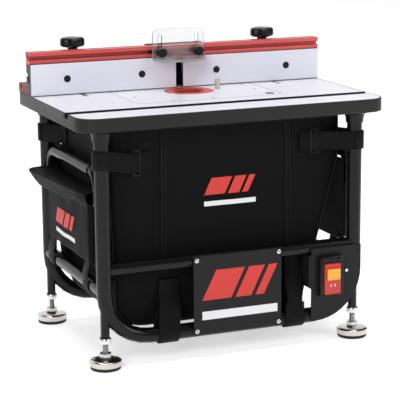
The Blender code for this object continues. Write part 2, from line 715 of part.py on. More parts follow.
def make_handle(palette, name, x):
    """A hoop whose two ends run down beside the legs."""
    reach = LEG_Y - TUBE_RADIUS - GAP - HANDLE_RADIUS
    low = 0.300
    turn_z = HANDLE_Z - HANDLE_BEND
    turn_y = reach - HANDLE_BEND
    path = [(x, -reach, low)]
    path += [(x, y, z) for y, z in arc((-turn_y, turn_z), HANDLE_BEND, 180, 90, 5)]
    path += [(x, y, z) for y, z in arc((turn_y, turn_z), HANDLE_BEND, 90, 0, 5)]
    path += [(x, reach, low)]
    handle = finish("carry_handle_" + name, sweep(path, HANDLE_RADIUS, 12),
                    palette["black_tube"], (x, 0.0, HANDLE_Z))
    grip_half = turn_y - 0.003
    join(handle, cylinder(GRIP_RADIUS, -grip_half, grip_half, 16, (x, 0.0, HANDLE_Z), "Y"))


def make_brackets(palette):
    """Flared cups that fasten the leg tops to the underside of the table."""
    top = UNDERSIDE - GAP
    bore = TUBE_RADIUS + GAP
    cup = [(bore, top - 0.022), (bore + 0.0022, top - 0.022), (bore + 0.0026, top - 0.014),
           (bore + 0.0050, top - 0.0065), (0.0265, top - 0.0028), (0.0265, top),
           (bore, top)]
    for end, y in (("front", -LEG_Y), ("rear", LEG_Y)):
        for name, side in (("left", -1), ("right", 1)):
            place = (side * LEG_X, y, 0.0)
            finish("leg_bracket_" + end + "_" + name, lathe(cup, 16, place),
                   palette["black_tube"], (side * LEG_X, y, top))


def make_feet(palette):
    """Four levelling feet: a swivelling pad on a threaded stem with a hexagon."""
    pad = [(0.0, 0.0), (0.0275, 0.0), (0.0285, 0.0012), (0.0285, 0.0058), (0.0300, 0.0068),
           (0.0300, 0.0158), (0.0288, 0.0172), (0.0250, 0.0186), (0.0125, 0.0208),
           (0.0095, 0.0212), (0.0060, 0.0212), (0.0060, 0.0118), (0.0, 0.0118)]
    hexagon_low = 0.0215
    hexagon_high = 0.0298
    stem = [(0.0, 0.0121), (0.0055, 0.0121), (0.0055, hexagon_low), (0.0100, hexagon_low),
            (0.0100, hexagon_high), (0.0055, hexagon_high), (0.0055, 0.0880), (0.0, 0.0880)]

    def stem_shape(angle, radius, height):
        return hexagon(angle, radius, height) if radius > 0.008 else radius

    for end, y in (("front", -LEG_Y), ("rear", LEG_Y)):
        for name, side in (("left", -1), ("right", 1)):
            label = end + "_" + name
            place = (side * LEG_X, y, 0.0)
            holder = empty_at("foot_" + label, place)
            finish("foot_pad_" + label, lathe(pad, 16, place), palette["nickel"], place, holder)
            finish("foot_stem_" + label, lathe(stem, 12, place, "Z", stem_shape),
                   palette["steel"], place, holder)


# ---------------------------------------------------------------- front plates and switch
def make_plates(palette):
    thickness = 0.0022
    bm = block((-0.085, PANEL_BACK - thickness, 0.0460), (0.094, PANEL_BACK, 0.1965))
    finish("nameplate", soften(bm, 0.0005), palette["black_tube"], (0.0045, PANEL_BACK, 0.121))

    left = 0.1570
    top = 0.1870
    bend_x = LEG_X - LOOP_BEND
    bend_z = LOOP_Z + LOOP_BEND
    reach = LOOP_BEND + 0.0085
    outline = [(left, bend_z - reach), (bend_x, bend_z - reach)]
    outline += arc((bend_x, bend_z), reach, -81, 0, 9)
    outline += [(bend_x + reach, top), (left, top)]
    bm = soften(prism(outline, "Y", PANEL_BACK - thickness, PANEL_BACK), 0.0005)
    plate = finish("switch_plate", bm, palette["black_tube"], (SWITCH_X, PANEL_BACK, SWITCH_Z))
    box_left = 0.1525
    box_right = 0.2200
    box_low = 0.1050
    box_top = 0.1725
    corner = 0.012
    outline = arc((box_left + corner, box_low + corner), corner, 180, 270, 4)
    outline += arc((box_right - corner, box_low + corner), corner, 270, 360, 4)
    outline += [(box_right, box_top), (box_left, box_top)]
    join(plate, prism(outline, "Y", PANEL_BACK - 0.0008, -0.1500))
    make_switch(palette, PANEL_BACK - thickness - GAP)


def make_switch(palette, seat):
    """A safety switch: a housing, a rocking paddle and a pull-out key."""
    front = seat - 0.0125
    pivot_y = front + 0.0055
    half_width = 0.0168
    half_height = 0.0302
    housing = soften(block((SWITCH_X - 0.0250, front, SWITCH_Z - 0.0350),
                           (SWITCH_X + 0.0250, seat, SWITCH_Z + 0.0440)), 0.0025, 2)
    box = finish("switch_box", housing, palette["black_plastic"], (SWITCH_X, seat, SWITCH_Z))
    cut(box, block((SWITCH_X - half_width - 0.0008, front - 0.01, SWITCH_Z - half_height - 0.0016),
                   (SWITCH_X + half_width + 0.0008, seat - 0.0022,
                    SWITCH_Z + half_height + 0.0016)))

    rocker = empty_at("rocker", (SWITCH_X, pivot_y, SWITCH_Z))
    key_z = SWITCH_Z + 0.0100
    key_half = 0.0110
    bm = soften(block((SWITCH_X - half_width, front - 0.0035, SWITCH_Z - half_height),
                      (SWITCH_X + half_width, pivot_y, SWITCH_Z + half_height)), 0.0012)
    paddle = finish("switch_paddle", bm, palette["switch_red"], (SWITCH_X, pivot_y, SWITCH_Z),
                    rocker)
    cut(paddle, block((SWITCH_X - 0.0068, front - 0.02, key_z - 0.0048),
                      (SWITCH_X + 0.0068, pivot_y - 0.002, key_z + 0.0048)))
    cap_back = front - 0.0035 - GAP
    bm = soften(block((SWITCH_X - 0.0136, cap_back - 0.0050, key_z - key_half),
                      (SWITCH_X + 0.0136, cap_back, key_z + key_half)), 0.0010)
    key = finish("safety_key", bm, palette["switch_yellow"], (SWITCH_X, cap_back, key_z), rocker)
    join(key, block((SWITCH_X - 0.0062, cap_back - 0.001, key_z - 0.0042),
                    (SWITCH_X + 0.0062, cap_back + 0.0062, key_z + 0.0042)))


# ---------------------------------------------------------------- dust bag and pouches
def make_bag(palette):
    turn = (-BAG_LEFT_LOW + BAG_CORNER, BAG_BOTTOM + BAG_CORNER)
    curve = arc(turn, BAG_CORNER, 180, 270, 6)
    outline = [(BAG_RIGHT_BOTTOM, BAG_BOTTOM), (BAG_HALF_TOP, BAG_SHOULDER),
               (BAG_HALF_TOP, BAG_TOP), (-BAG_HALF_TOP, BAG_TOP), (-BAG_HALF_TOP, BAG_SHOULDER)]
    outline += curve
    inner_depth = BAG_HALF_DEPTH - CLOTH
    for name, start in (("front", -BAG_HALF_DEPTH), ("rear", inner_depth)):
        finish("bag_" + name, prism(outline, "Y", start, start + CLOTH), palette["nylon"],
               (0.0, start, BAG_TOP))
    floor_top = BAG_BOTTOM + CLOTH
    reach = inner_depth - GAP
    inner_half = BAG_HALF_TOP - CLOTH
    outside = [(-BAG_HALF_TOP, BAG_TOP), (-BAG_HALF_TOP, BAG_SHOULDER)] + curve
    inside = [(-inner_half, BAG_TOP), (-inner_half, BAG_SHOULDER)]
    inside += arc(turn, BAG_CORNER - CLOTH, 180, 270, 6)
    finish("bag_left", prism(outside + inside[::-1], "Y", -reach, reach), palette["nylon"],
           (-BAG_HALF_TOP, 0.0, BAG_TOP))
    outside = [(BAG_RIGHT_BOTTOM + 0.0010, floor_top + GAP), (BAG_HALF_TOP, BAG_SHOULDER),
               (BAG_HALF_TOP, BAG_TOP)]
    inside = [(x - CLOTH, z) for x, z in outside]
    finish("bag_right", prism(outside + inside[::-1], "Y", -reach, reach), palette["nylon"],
           (BAG_HALF_TOP, 0.0, BAG_TOP))
    finish("bag_floor", block((turn[0] + GAP, -reach, BAG_BOTTOM),
                              (BAG_RIGHT_BOTTOM, reach, floor_top)),
           palette["nylon"], (0.0, 0.0, BAG_BOTTOM))


def make_pouches(palette):
    """Side pouches: a box whose flap stands off over the mouth, on a tall panel flush with its back."""
    back = 0.2400
    low = 0.1860
    half = 0.1270
    wall = 0.0025
    top = 0.3250
    section = [(back, low), (0.2680, low), (0.2680, 0.2900), (0.2820, 0.2930),
               (0.3000, 0.3150), (0.3000, 0.3240), (0.2640, 0.3265), (back, top)]
    hollow = [(back + wall, low + wall), (0.2655, low + wall), (0.2655, 0.2860),
              (0.3100, 0.2860), (0.3100, 0.2930), (back + wall, 0.2930)]
    panel_half = 0.1500
    panel_low = 0.2000
    panel_top = 0.3500
    panel = [(back, panel_low), (back + wall, panel_low), (back + wall, panel_top), (back, panel_top)]
    for name, side in (("left", -1), ("right", 1)):
        pouch = finish("side_pouch_" + name,
                       prism([(side * x, z) for x, z in section], "Y", -half, half),
                       palette["nylon"], (side * back, 0.0, top))
        cut(pouch, prism([(side * x, z) for x, z in hollow], "Y", -half + wall, half - wall))
        join(pouch, prism([(side * x, z) for x, z in panel], "Y", -panel_half, panel_half))


def main():
    clear_scene()
    palette = make_palette()
    make_top(palette)
    make_insert(palette)
    make_lift(palette)
    make_fence(palette)
    make_frame(palette)
    make_feet(palette)
    make_plates(palette)
    make_bag(palette)
    make_pouches(palette)


main()
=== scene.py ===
import json
import math

import bmesh
import bpy
from mathutils import Matrix, Vector, noise


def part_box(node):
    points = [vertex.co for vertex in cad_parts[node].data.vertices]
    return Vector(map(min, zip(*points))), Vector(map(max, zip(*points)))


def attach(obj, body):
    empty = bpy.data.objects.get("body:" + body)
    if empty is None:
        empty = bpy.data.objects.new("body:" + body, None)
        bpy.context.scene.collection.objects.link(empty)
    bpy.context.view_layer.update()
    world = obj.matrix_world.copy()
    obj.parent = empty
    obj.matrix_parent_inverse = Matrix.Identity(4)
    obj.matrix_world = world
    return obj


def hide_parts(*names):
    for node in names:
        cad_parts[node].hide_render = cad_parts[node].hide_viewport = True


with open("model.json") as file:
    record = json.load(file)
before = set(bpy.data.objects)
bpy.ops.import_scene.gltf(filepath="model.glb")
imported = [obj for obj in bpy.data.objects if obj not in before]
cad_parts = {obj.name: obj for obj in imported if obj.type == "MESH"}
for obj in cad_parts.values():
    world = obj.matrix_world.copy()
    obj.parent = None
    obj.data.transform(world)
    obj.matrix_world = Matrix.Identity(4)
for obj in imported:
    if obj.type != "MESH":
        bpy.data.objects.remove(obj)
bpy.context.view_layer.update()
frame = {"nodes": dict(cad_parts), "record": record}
NODES = frame["nodes"]
SIDES = (("left", -1), ("right", 1))
ENDS = (("front", -1), ("rear", 1))


# ---------------------------------------------------------------- materials
class Graph:
    """Short-hand for building one node material."""

    def __init__(self, name, color, roughness, metallic=0.0, **sockets):
        self.material = bpy.data.materials.new(name)
        self.material.use_nodes = True
        self.tree = self.material.node_tree
        self.shader = self.tree.nodes["Principled BSDF"]
        self.set("Base Color", (*color, 1.0))
        self.set("Roughness", roughness)
        self.set("Metallic", metallic)
        for key, value in sockets.items():
            self.set(key.replace("_", " "), value)
        self.color = color
        self.roughness = roughness
        self.place = self.node("ShaderNodeTexCoord").outputs["Object"]

    def set(self, socket, value):
        self.shader.inputs[socket].default_value = value

    def node(self, kind, **properties):
        made = self.tree.nodes.new(kind)
        for key, value in properties.items():
            setattr(made, key, value)
        return made

    def join(self, source, target):
        self.tree.links.new(source, target)

    def stretched(self, scale):
        mapping = self.node("ShaderNodeMapping")
        mapping.inputs["Scale"].default_value = scale
        self.join(self.place, mapping.inputs["Vector"])
        return mapping.outputs["Vector"]

    def noise(self, scale, detail=3.0, stretch=(1.0, 1.0, 1.0)):
        made = self.node("ShaderNodeTexNoise")
        made.inputs["Scale"].default_value = scale
        made.inputs["Detail"].default_value = detail
        self.join(self.stretched(stretch), made.inputs["Vector"])
        return made.outputs["Fac"]

    def ranged(self, value, low, high, start=0.25, end=0.75):
        made = self.node("ShaderNodeMapRange")
        for key, number in (("From Min", start), ("From Max", end), ("To Min", low), ("To Max", high)):
            made.inputs[key].default_value = number
        self.join(value, made.inputs["Value"])
        return made.outputs["Result"]

    def math(self, operation, a, b=None):
        made = self.node("ShaderNodeMath", operation=operation)
        for slot, value in zip(made.inputs, (a, b)):
            if value is None:
                continue
            if isinstance(value, (int, float)):
                slot.default_value = value
            else:
                self.join(value, slot)
        return made.outputs["Value"]

    def ribs(self, direction, pitch):
        """A sine wave along a direction, once each pitch."""
        dot = self.node("ShaderNodeVectorMath", operation="DOT_PRODUCT")
        self.join(self.place, dot.inputs[0])
        dot.inputs[1].default_value = direction
        return self.math("SINE", self.math("MULTIPLY", dot.outputs["Value"], math.tau / pitch))

    def tint(self, value, spread, other=None):
        """Base colour runs from a darker to a lighter shade as value goes from 0 to 1."""
        mix = self.node("ShaderNodeMix", data_type="RGBA")
        dark = other or [c * (1.0 - spread) for c in self.color]
        light = [min(1.0, c * (1.0 + spread)) for c in self.color]
        mix.inputs[6].default_value = (*dark, 1.0)
        mix.inputs[7].default_value = (*light, 1.0)
        self.join(value, mix.inputs[0])
        self.join(mix.outputs[2], self.shader.inputs["Base Color"])

    def rough(self, value, spread):
        low = max(0.02, self.roughness - spread)
        self.join(self.ranged(value, low, self.roughness + spread), self.shader.inputs["Roughness"])

    def relief(self, height, strength, distance):
        bump = self.node("ShaderNodeBump")
        bump.inputs["Strength"].default_value = strength
        bump.inputs["Distance"].default_value = distance
        self.join(height, bump.inputs["Height"])
        self.join(bump.outputs["Normal"], self.shader.inputs["Normal"])


def grained(name, color, roughness, metallic=0.0, scale=260.0, spread=0.06, shade=0.08,
            strength=0.25, distance=0.0004, stretch=(1.0, 1.0, 1.0), patches=9.0, **sockets):
    """A moulded, coated or machined surface: fine grain over broad soft patches."""
    g = Graph(name, color, roughness, metallic, **sockets)
    fine = g.noise(scale, 4.0, stretch)
    broad = g.noise(patches, 3.0)
    g.tint(g.math("ADD", g.math("MULTIPLY", fine, 0.4), g.math("MULTIPLY", broad, 0.6)), shade)
    g.rough(g.math("ADD", g.math("MULTIPLY", fine, 0.5), g.math("MULTIPLY", broad, 0.5)), spread)
    g.relief(fine, strength, distance)
    return g.material


def woven(name, color, roughness, pitch, shade, depth, lean=0.0, **sockets):
    """A plain weave: two crossing sets of threads, soft wear and small slubs."""
    g = Graph(name, color, roughness, **sockets)
    warp = g.ribs((1.0, 1.0, lean), pitch)
    weft = g.ribs((lean, -lean, 1.0), pitch)
    threads = g.math("MULTIPLY", warp, weft)
    slub = g.noise(90.0, 4.0, (1.0, 1.0, 0.3))
    wear = g.noise(13.0, 5.0)
    both = g.math("ADD", g.math("MULTIPLY", slub, 0.35), g.math("MULTIPLY", wear, 0.65))
    g.tint(both, shade)
    g.rough(both, 0.08)
    g.relief(g.math("ADD", g.math("MULTIPLY", threads, 0.5), g.math("MULTIPLY", slub, 0.8)), 0.5, depth)
    return g.material


MATERIALS = {
    "laminate": grained("laminate_top", (0.80, 0.80, 0.87), 0.36, scale=700.0, shade=0.03, strength=0.12,
                        distance=0.0002, spread=0.05, Specular_IOR_Level=0.45),
    "edge_band": grained("edge_band_plastic", (0.0150, 0.0150, 0.0155), 0.42, scale=420.0, strength=0.35,
                         Specular_IOR_Level=0.25),
    "black_aluminium": grained("anodised_black", (0.018, 0.018, 0.019), 0.38, 0.5, stretch=(0.02, 1.0, 1.0),
                               scale=900.0, strength=0.2),
    "insert_plate": grained("insert_phenolic", (0.83, 0.83, 0.90), 0.30, scale=520.0, shade=0.025,
                            strength=0.10, spread=0.04),
    "red_ring": grained("anodised_orange_red", (0.74, 0.075, 0.040), 0.38, 0.35, scale=500.0, shade=0.06,
                        strength=0.15),
    "starter_pin": grained("ivory_acetal", (0.74, 0.72, 0.63), 0.28, scale=300.0, strength=0.1,
                           Transmission_Weight=0.35, IOR=1.48),
    "steel": grained("zinc_plate", (0.62, 0.61, 0.59), 0.24, 1.0, scale=320.0, spread=0.08, shade=0.12,
                     strength=0.15),
    "cast_aluminium": grained("blasted_casting", (0.34, 0.34, 0.35), 0.52, 0.9, scale=600.0, strength=0.6),
    "red_aluminium": grained("anodised_red", (0.76, 0.105, 0.100), 0.32, 0.35, stretch=(0.015, 1.0, 1.0),
                             scale=1100.0, strength=0.25, shade=0.10),
    "fence_face": grained("white_facing", (0.78, 0.78, 0.87), 0.34, scale=480.0, shade=0.03, strength=0.12,
                          spread=0.04),
    "black_plastic": grained("moulded_black", (0.007, 0.007, 0.0075), 0.34, scale=650.0, strength=0.35,
                             Specular_IOR_Level=0.26),
    "black_tube": grained("powder_coat", (0.0045, 0.0045, 0.0048), 0.22, scale=520.0, strength=0.25,
                          distance=0.0002, spread=0.04, Specular_IOR_Level=0.24),
    "black_panel": grained("panel_black", (0.0130, 0.0130, 0.0135), 0.42, scale=600.0, strength=0.25,
                           Specular_IOR_Level=0.18),
    "black_screw": grained("black_oxide", (0.020, 0.020, 0.020), 0.32, 0.6, scale=500.0, strength=0.2),
    "switch_red": grained("moulded_red", (0.56, 0.030, 0.020), 0.30, scale=350.0, strength=0.1),
    "switch_yellow": grained("moulded_amber", (0.88, 0.38, 0.035), 0.30, scale=350.0, strength=0.1),
    "nickel": grained("bright_nickel", (0.62, 0.59, 0.54), 0.17, 1.0, scale=120.0, spread=0.07, shade=0.14,
                      strength=0.12),
    "nylon": woven("black_nylon", (0.0040, 0.0040, 0.0042), 0.62, 0.0016, 0.30, 0.0007,
                   Specular_IOR_Level=0.09),
}
WEBBING = woven("nylon_webbing", (0.0050, 0.0050, 0.0053), 0.52, 0.0030, 0.30, 0.0012, lean=0.8,
                Specular_IOR_Level=0.11)
BINDING = woven("binding_tape", (0.0065, 0.0065, 0.0068), 0.45, 0.0012, 0.25, 0.0006, lean=0.3,
                Specular_IOR_Level=0.16)
# Painted shade: near-black for the insides of screw recesses and sockets.
RECESS_SHADE = grained("painted_recess_shade", (0.008, 0.008, 0.008), 0.95, scale=1400.0, strength=0.9, distance=0.0012)
RUBBER = grained("black_rubber", (0.012, 0.012, 0.012), 0.75, scale=500.0, strength=0.4)
PRINT_RED = grained("print_red", (0.62, 0.035, 0.025), 0.55, scale=900.0, strength=0.4, shade=0.10)
PRINT_WHITE = grained("print_white", (0.78, 0.78, 0.80), 0.55, scale=900.0, strength=0.4, shade=0.05)
BRIGHT_SCREW = grained("pan_screw_steel", (0.75, 0.75, 0.74), 0.22, 1.0, scale=400.0, strength=0.2)
DARK_SCREW = grained("dark_set_screw", (0.10, 0.10, 0.11), 0.35, 0.8, scale=400.0, strength=0.3)
# Painted shade: a dark red standing in for the shade on the fence body's ends.
SHADED_END_RED = grained("painted_shade_end_red", (0.16, 0.018, 0.016), 0.45, 0.4, scale=900.0, strength=0.3)
CLEAR_EDGE = grained("clear_sawn_edge", (0.50, 0.52, 0.53), 0.32, scale=300.0, strength=0.3,
                     Transmission_Weight=0.45, IOR=1.50)
COLLAR = grained("collar_zinc", (0.80, 0.80, 0.80), 0.30, 0.85, scale=300.0, strength=0.2)
THREAD = MATERIALS["steel"]


def clear_material():
    g = Graph("clear_polycarbonate", (0.97, 0.98, 0.98), 0.05, Transmission_Weight=0.92, IOR=1.50,
              Specular_IOR_Level=0.6)
    haze = g.noise(60.0, 3.0)
    g.rough(haze, 0.03)
    g.relief(g.noise(18.0, 2.0), 0.08, 0.0006)
    return g.material


MATERIALS["clear_plastic"] = clear_material()


# ---------------------------------------------------------------- CAD pieces
def rounded_edges_group():
    """Merges the imported triangles and shades them smooth across shallow edges."""
    group = bpy.data.node_groups.new("merge_and_smooth", "GeometryNodeTree")
    group.interface.new_socket("Geometry", in_out="INPUT", socket_type="NodeSocketGeometry")
    group.interface.new_socket("Geometry", in_out="OUTPUT", socket_type="NodeSocketGeometry")
    make = group.nodes.new
    start, end = make("NodeGroupInput"), make("NodeGroupOutput")
    strip = make("GeometryNodeRemoveAttribute")
    strip.inputs["Name"].default_value = "custom_normal"
    merge = make("GeometryNodeMergeByDistance")
    merge.inputs["Distance"].default_value = 0.00002
    angle = make("GeometryNodeInputMeshEdgeAngle")
    test = make("FunctionNodeCompare")
    test.data_type, test.operation = "FLOAT", "LESS_THAN"
    test.inputs[1].default_value = math.radians(34.0)
    faces, edges = make("GeometryNodeSetShadeSmooth"), make("GeometryNodeSetShadeSmooth")
    faces.domain, edges.domain = "FACE", "EDGE"
    faces.inputs["Shade Smooth"].default_value = True
    wire = group.links.new
    wire(start.outputs[0], strip.inputs["Geometry"])
    wire(strip.outputs[0], merge.inputs["Geometry"])
    wire(merge.outputs["Geometry"], faces.inputs["Geometry"])
    wire(faces.outputs[0], edges.inputs["Geometry"])
    wire(angle.outputs["Unsigned Angle"], test.inputs[0])
    wire(test.outputs["Result"], edges.inputs["Shade Smooth"])
    wire(edges.outputs[0], end.inputs[0])
    return group


BEVELS = {
    "table_top": 0.0003, "insert_plate": 0.0004, "mitre_track": 0.0004, "fence_body": 0.0005,
    "fence_rail": 0.0005, "fence_face_left": 0.0006, "fence_face_right": 0.0006, "dust_port": 0.0008,
    "fence_knob_left": 0.0012, "fence_knob_right": 0.0012, "guard": 0.0006, "guard_bar": 0.0004,
    "guard_knob_left": 0.0008, "guard_knob_right": 0.0008, "nameplate": 0.0005, "switch_plate": 0.0005,
    "switch_box": 0.0010, "switch_paddle": 0.0006, "safety_key": 0.0008, "lift_base": 0.0006,
    "lift_carriage": 0.0008,
}


def paint_faces(name, material, test):
    """Gives a CAD node a second material on the faces whose centre and normal pass a test."""
    mesh = NODES[name].data
    place = NODES[name].matrix_world
    turn = place.to_3x3()
    mesh.materials.append(material)
    for face in mesh.polygons:
        if test(place @ face.center, turn @ face.normal):
            face.material_index = len(mesh.materials) - 1


def in_rail_slot(centre, normal):
    """The lips and side walls of either T-slot of the fence rail, painted black as the shade inside the slot;
    the floor of the front slot stays red.
    """
    low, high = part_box("fence_rail")
    inside = low.y + 0.0004 < centre.y < high.y - 0.0004 and low.z + 0.0004 < centre.z < high.z - 0.0004
    return inside and abs(normal.x) < 0.5 and not (normal.y < -0.5 and centre.y < low.y + 0.010)


BODY_FRONT_WALL = 0.1241          # y of the back of the fence body's front wall
GUARD_BEND = 0.5334               # z where the guard turns from shelf to upright
LEFT_GUARD_SLOT = -0.0424
PAD_RUBBER = 0.0063               # height of the rubber under a foot pad


def paint_details():
    black = MATERIALS["black_aluminium"]
    # Painted shade: the fence body's end faces behind its front wall get a dark red in place of the shade on
    # them.
    paint_faces("fence_body", SHADED_END_RED, lambda c, n: c.y > BODY_FRONT_WALL and abs(n.x) > 0.5)
    paint_faces("fence_body", black, lambda c, n: c.y < BODY_FRONT_WALL or n.z > 0.5)
    # Painted shade: the rail's T-slot lips and walls are black.
    paint_faces("fence_rail", black, in_rail_slot)
    paint_faces("guard", CLEAR_EDGE, lambda c, n: c.z > GUARD_BEND and abs(n.y) < 0.5)
    paint_faces("guard", CLEAR_EDGE, lambda c, n: c.z < GUARD_BEND and abs(n.z) < 0.5)
    paint_faces("guard", MATERIALS["black_plastic"],
                lambda c, n: abs(c.x - LEFT_GUARD_SLOT) < 0.0044 and 0.536 < c.z < 0.578 and abs(n.y) < 0.5)
    for side, _ in SIDES:
        # Painted shade: every face of each fence facing except its front is black, standing in for the shade
        # on its bevelled ends.
        paint_faces(f"fence_face_{side}", MATERIALS["black_plastic"], lambda c, n: n.y > -0.5)
        for end, _ in ENDS:
            paint_faces(f"foot_pad_{end}_{side}", RUBBER, lambda c, n: c.z < PAD_RUBBER)


def dress_cad_nodes():
    group = rounded_edges_group()
    for part in frame["record"]["subparts"]:
        node = NODES[part["node"]]
        node.material_slots[0].material = MATERIALS[part["material_slot"]]
        node.modifiers.new("merge_and_smooth", "NODES").node_group = group
        if part["node"] in BEVELS:
            bevel = node.modifiers.new("soft_edges", "BEVEL")
            bevel.width = BEVELS[part["node"]]
            bevel.segments = 2
            bevel.limit_method = "ANGLE"
            bevel.angle_limit = math.radians(50.0)
            bevel.harden_normals = True


dress_cad_nodes()
paint_details()


# ---------------------------------------------------------------- mesh tools
def piece(name, bm, material, body, smooth=50.0):
    """A new visual object that rides on a CAD body."""
    bmesh.ops.remove_doubles(bm, verts=bm.verts, dist=1e-6)
    bmesh.ops.recalc_face_normals(bm, faces=bm.faces)
    mesh = bpy.data.meshes.new(name)
    bm.to_mesh(mesh)
    bm.free()
    mesh.materials.append(material)
    for face in mesh.polygons:
        face.use_smooth = True
    mesh.set_sharp_from_angle(angle=math.radians(smooth))
    made = bpy.data.objects.new(name, mesh)
    bpy.context.scene.collection.objects.link(made)
    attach(made, body)
    return made


def sewn(name, bm, material, smooth=50.0):
    """A fabric piece, which always stays with the table."""
    return piece(name, bm, material, "table", smooth)


def bridge(bm, rings, closed=True, caps=True):
    """Faces between rows of points. A closed row joins its last point to its first."""
    rows = [[bm.verts.new(p) for p in ring] for ring in rings]
    for lower, upper in zip(rows, rows[1:]):
        count = len(lower)
        for i in range(count if closed else count - 1):
            j = (i + 1) % count
            bm.faces.new((lower[i], lower[j], upper[j], upper[i]))
    if caps and closed:
        bm.faces.new(rows[0][::-1])
        bm.faces.new(rows[-1])
    return rows


def shell(rows, thickness):
    """A closed skin of even thickness about a grid of points."""
    skin = bmesh.new()
    bridge(skin, rows, closed=False, caps=False)
    bmesh.ops.recalc_face_normals(skin, faces=skin.faces)
    bmesh.ops.solidify(skin, geom=skin.faces[:], thickness=thickness)
    return skin


def ribbon(path, side, width, thickness):
    """A flat strap along path. side is its width direction; width may be a list, one for each point."""
    bm = bmesh.new()
    side = Vector(side).normalized()
    points = [Vector(p) for p in path]
    widths = width if isinstance(width, (list, tuple)) else [width] * len(points)
    rings = []
    for i, point in enumerate(points):
        ahead = points[min(i + 1, len(points) - 1)] - points[max(i - 1, 0)]
        out = ahead.cross(side).normalized() * thickness / 2
        half = side * widths[i] / 2
        edge = side * min(0.0009, widths[i] / 6)
        rings.append([point - half, point - half + edge - out, point + half - edge - out, point + half,
                      point + half - edge + out, point - half + edge + out])
    bridge(bm, rings)
    return bm


def tube(path, radius, sides=8, bm=None):
    bm = bm or bmesh.new()
    points = [Vector(p) for p in path]
    up = Vector((0.0, 0.0, 1.0))
    rings = []
    for i, point in enumerate(points):
        ahead = (points[min(i + 1, len(points) - 1)] - points[max(i - 1, 0)]).normalized()
        across = ahead.cross(up)
        if across.length < 0.2:
            across = ahead.cross(Vector((0.0, 1.0, 0.0)))
        across.normalize()
        over = across.cross(ahead).normalized()
        rings.append([point + radius * (math.cos(a) * across + math.sin(a) * over)
                      for a in (math.tau * k / sides for k in range(sides))])
    bridge(bm, rings)
    return bm


FACING_FRONT = Matrix.Rotation(math.pi / 2, 3, "X")
FACING_UP = Matrix.Identity(3)


def turned_rings(profile, place, segments, facing=FACING_UP):
    """Rings of points from (radius, height) pairs, about an axis through place."""
    return [[Vector(place) + facing @ Vector((r * math.cos(a), r * math.sin(a), h))
             for a in (math.tau * k / segments for k in range(segments))] for r, h in profile]


def lathe(profile, place, segments, facing=FACING_UP):
    """A solid turned shape, closed at both ends of its profile."""
    bm = bmesh.new()
    bridge(bm, turned_rings(profile, place, segments, facing))
    return bm


def hoop(profile, place, segments, facing=FACING_UP):
    """A turned ring with a hole: the profile is a closed loop."""
    rings = turned_rings(profile, place, segments, facing)
    bm = bmesh.new()
    bridge(bm, rings + [rings[0]], caps=False)
    return bm


def slab(outline, depth, transform):
    """A flat shape of the given depth: outline is in the local XY plane of transform."""
    bm = bmesh.new()
    rings = [[transform @ Vector((x, y, level)) for x, y in outline] for level in (0.0, depth)]
    bridge(bm, rings)
    return bm


def smooth_path(points, steps=6):
    """A Catmull-Rom curve through the points."""
    points = [Vector(p) for p in points]
    padded = [points[0] * 2 - points[1], *points, points[-1] * 2 - points[-2]]
    out = []
    for a, b, c, d in zip(padded, padded[1:], padded[2:], padded[3:]):
        for k in range(steps):
            t = k / steps
            out.append(0.5 * (2 * b + (c - a) * t + (2 * a - 5 * b + 4 * c - d) * t * t
                              + (3 * b - a - 3 * c + d) * t ** 3))
    return out + [points[-1]]


def ease(value):
    value = max(0.0, min(1.0, value))
    return value * value * (3.0 - 2.0 * value)


def folds(x, y, z, seed):
    """Soft ridged wrinkles between -1 and 1."""
    first = noise.noise(Vector((x, y, z)) + Vector((seed, 0.0, 0.0)))
    second = noise.noise(Vector((x * 2.1, y * 2.1, z * 2.1)) + Vector((0.0, seed, 0.0)))
    return (1.0 - 2.0 * abs(first) * 1.6) * 0.65 + second * 0.5


# ---------------------------------------------------------------- main bag
BAG_TOP, BAG_SHOULDER, BAG_BOTTOM = 0.4355, 0.350, 0.0612
BAG_HALF_TOP, BAG_RIGHT_LOW, BAG_DEPTH = 0.2335, 0.1515, 0.1375
BAG_LEFT_LOW, BAG_CORNER = 0.2225, 0.054
SEAM_X = 0.125
CLOTH = 0.0016


def side_line(low_x, z):
    """Distance of a side from the middle at height z: sloped below the shoulder, upright above it."""
    slope = (BAG_HALF_TOP - low_x) / (BAG_SHOULDER - BAG_BOTTOM)
    blend = 0.012
    if z > BAG_SHOULDER + blend:
        return BAG_HALF_TOP
    straight = low_x + slope * (z - BAG_BOTTOM)
    t = max(0.0, (z - BAG_SHOULDER + blend) / (2 * blend))
    return straight - slope * blend * t * t


def bag_right(z):
    return side_line(BAG_RIGHT_LOW, z)


def bag_left(z):
    drop = BAG_BOTTOM + BAG_CORNER - z
    if drop <= 0.0:
        return side_line(BAG_LEFT_LOW, z)
    inset = BAG_CORNER - math.sqrt(max(0.0, BAG_CORNER ** 2 - drop ** 2))
    return side_line(BAG_LEFT_LOW, z) - inset


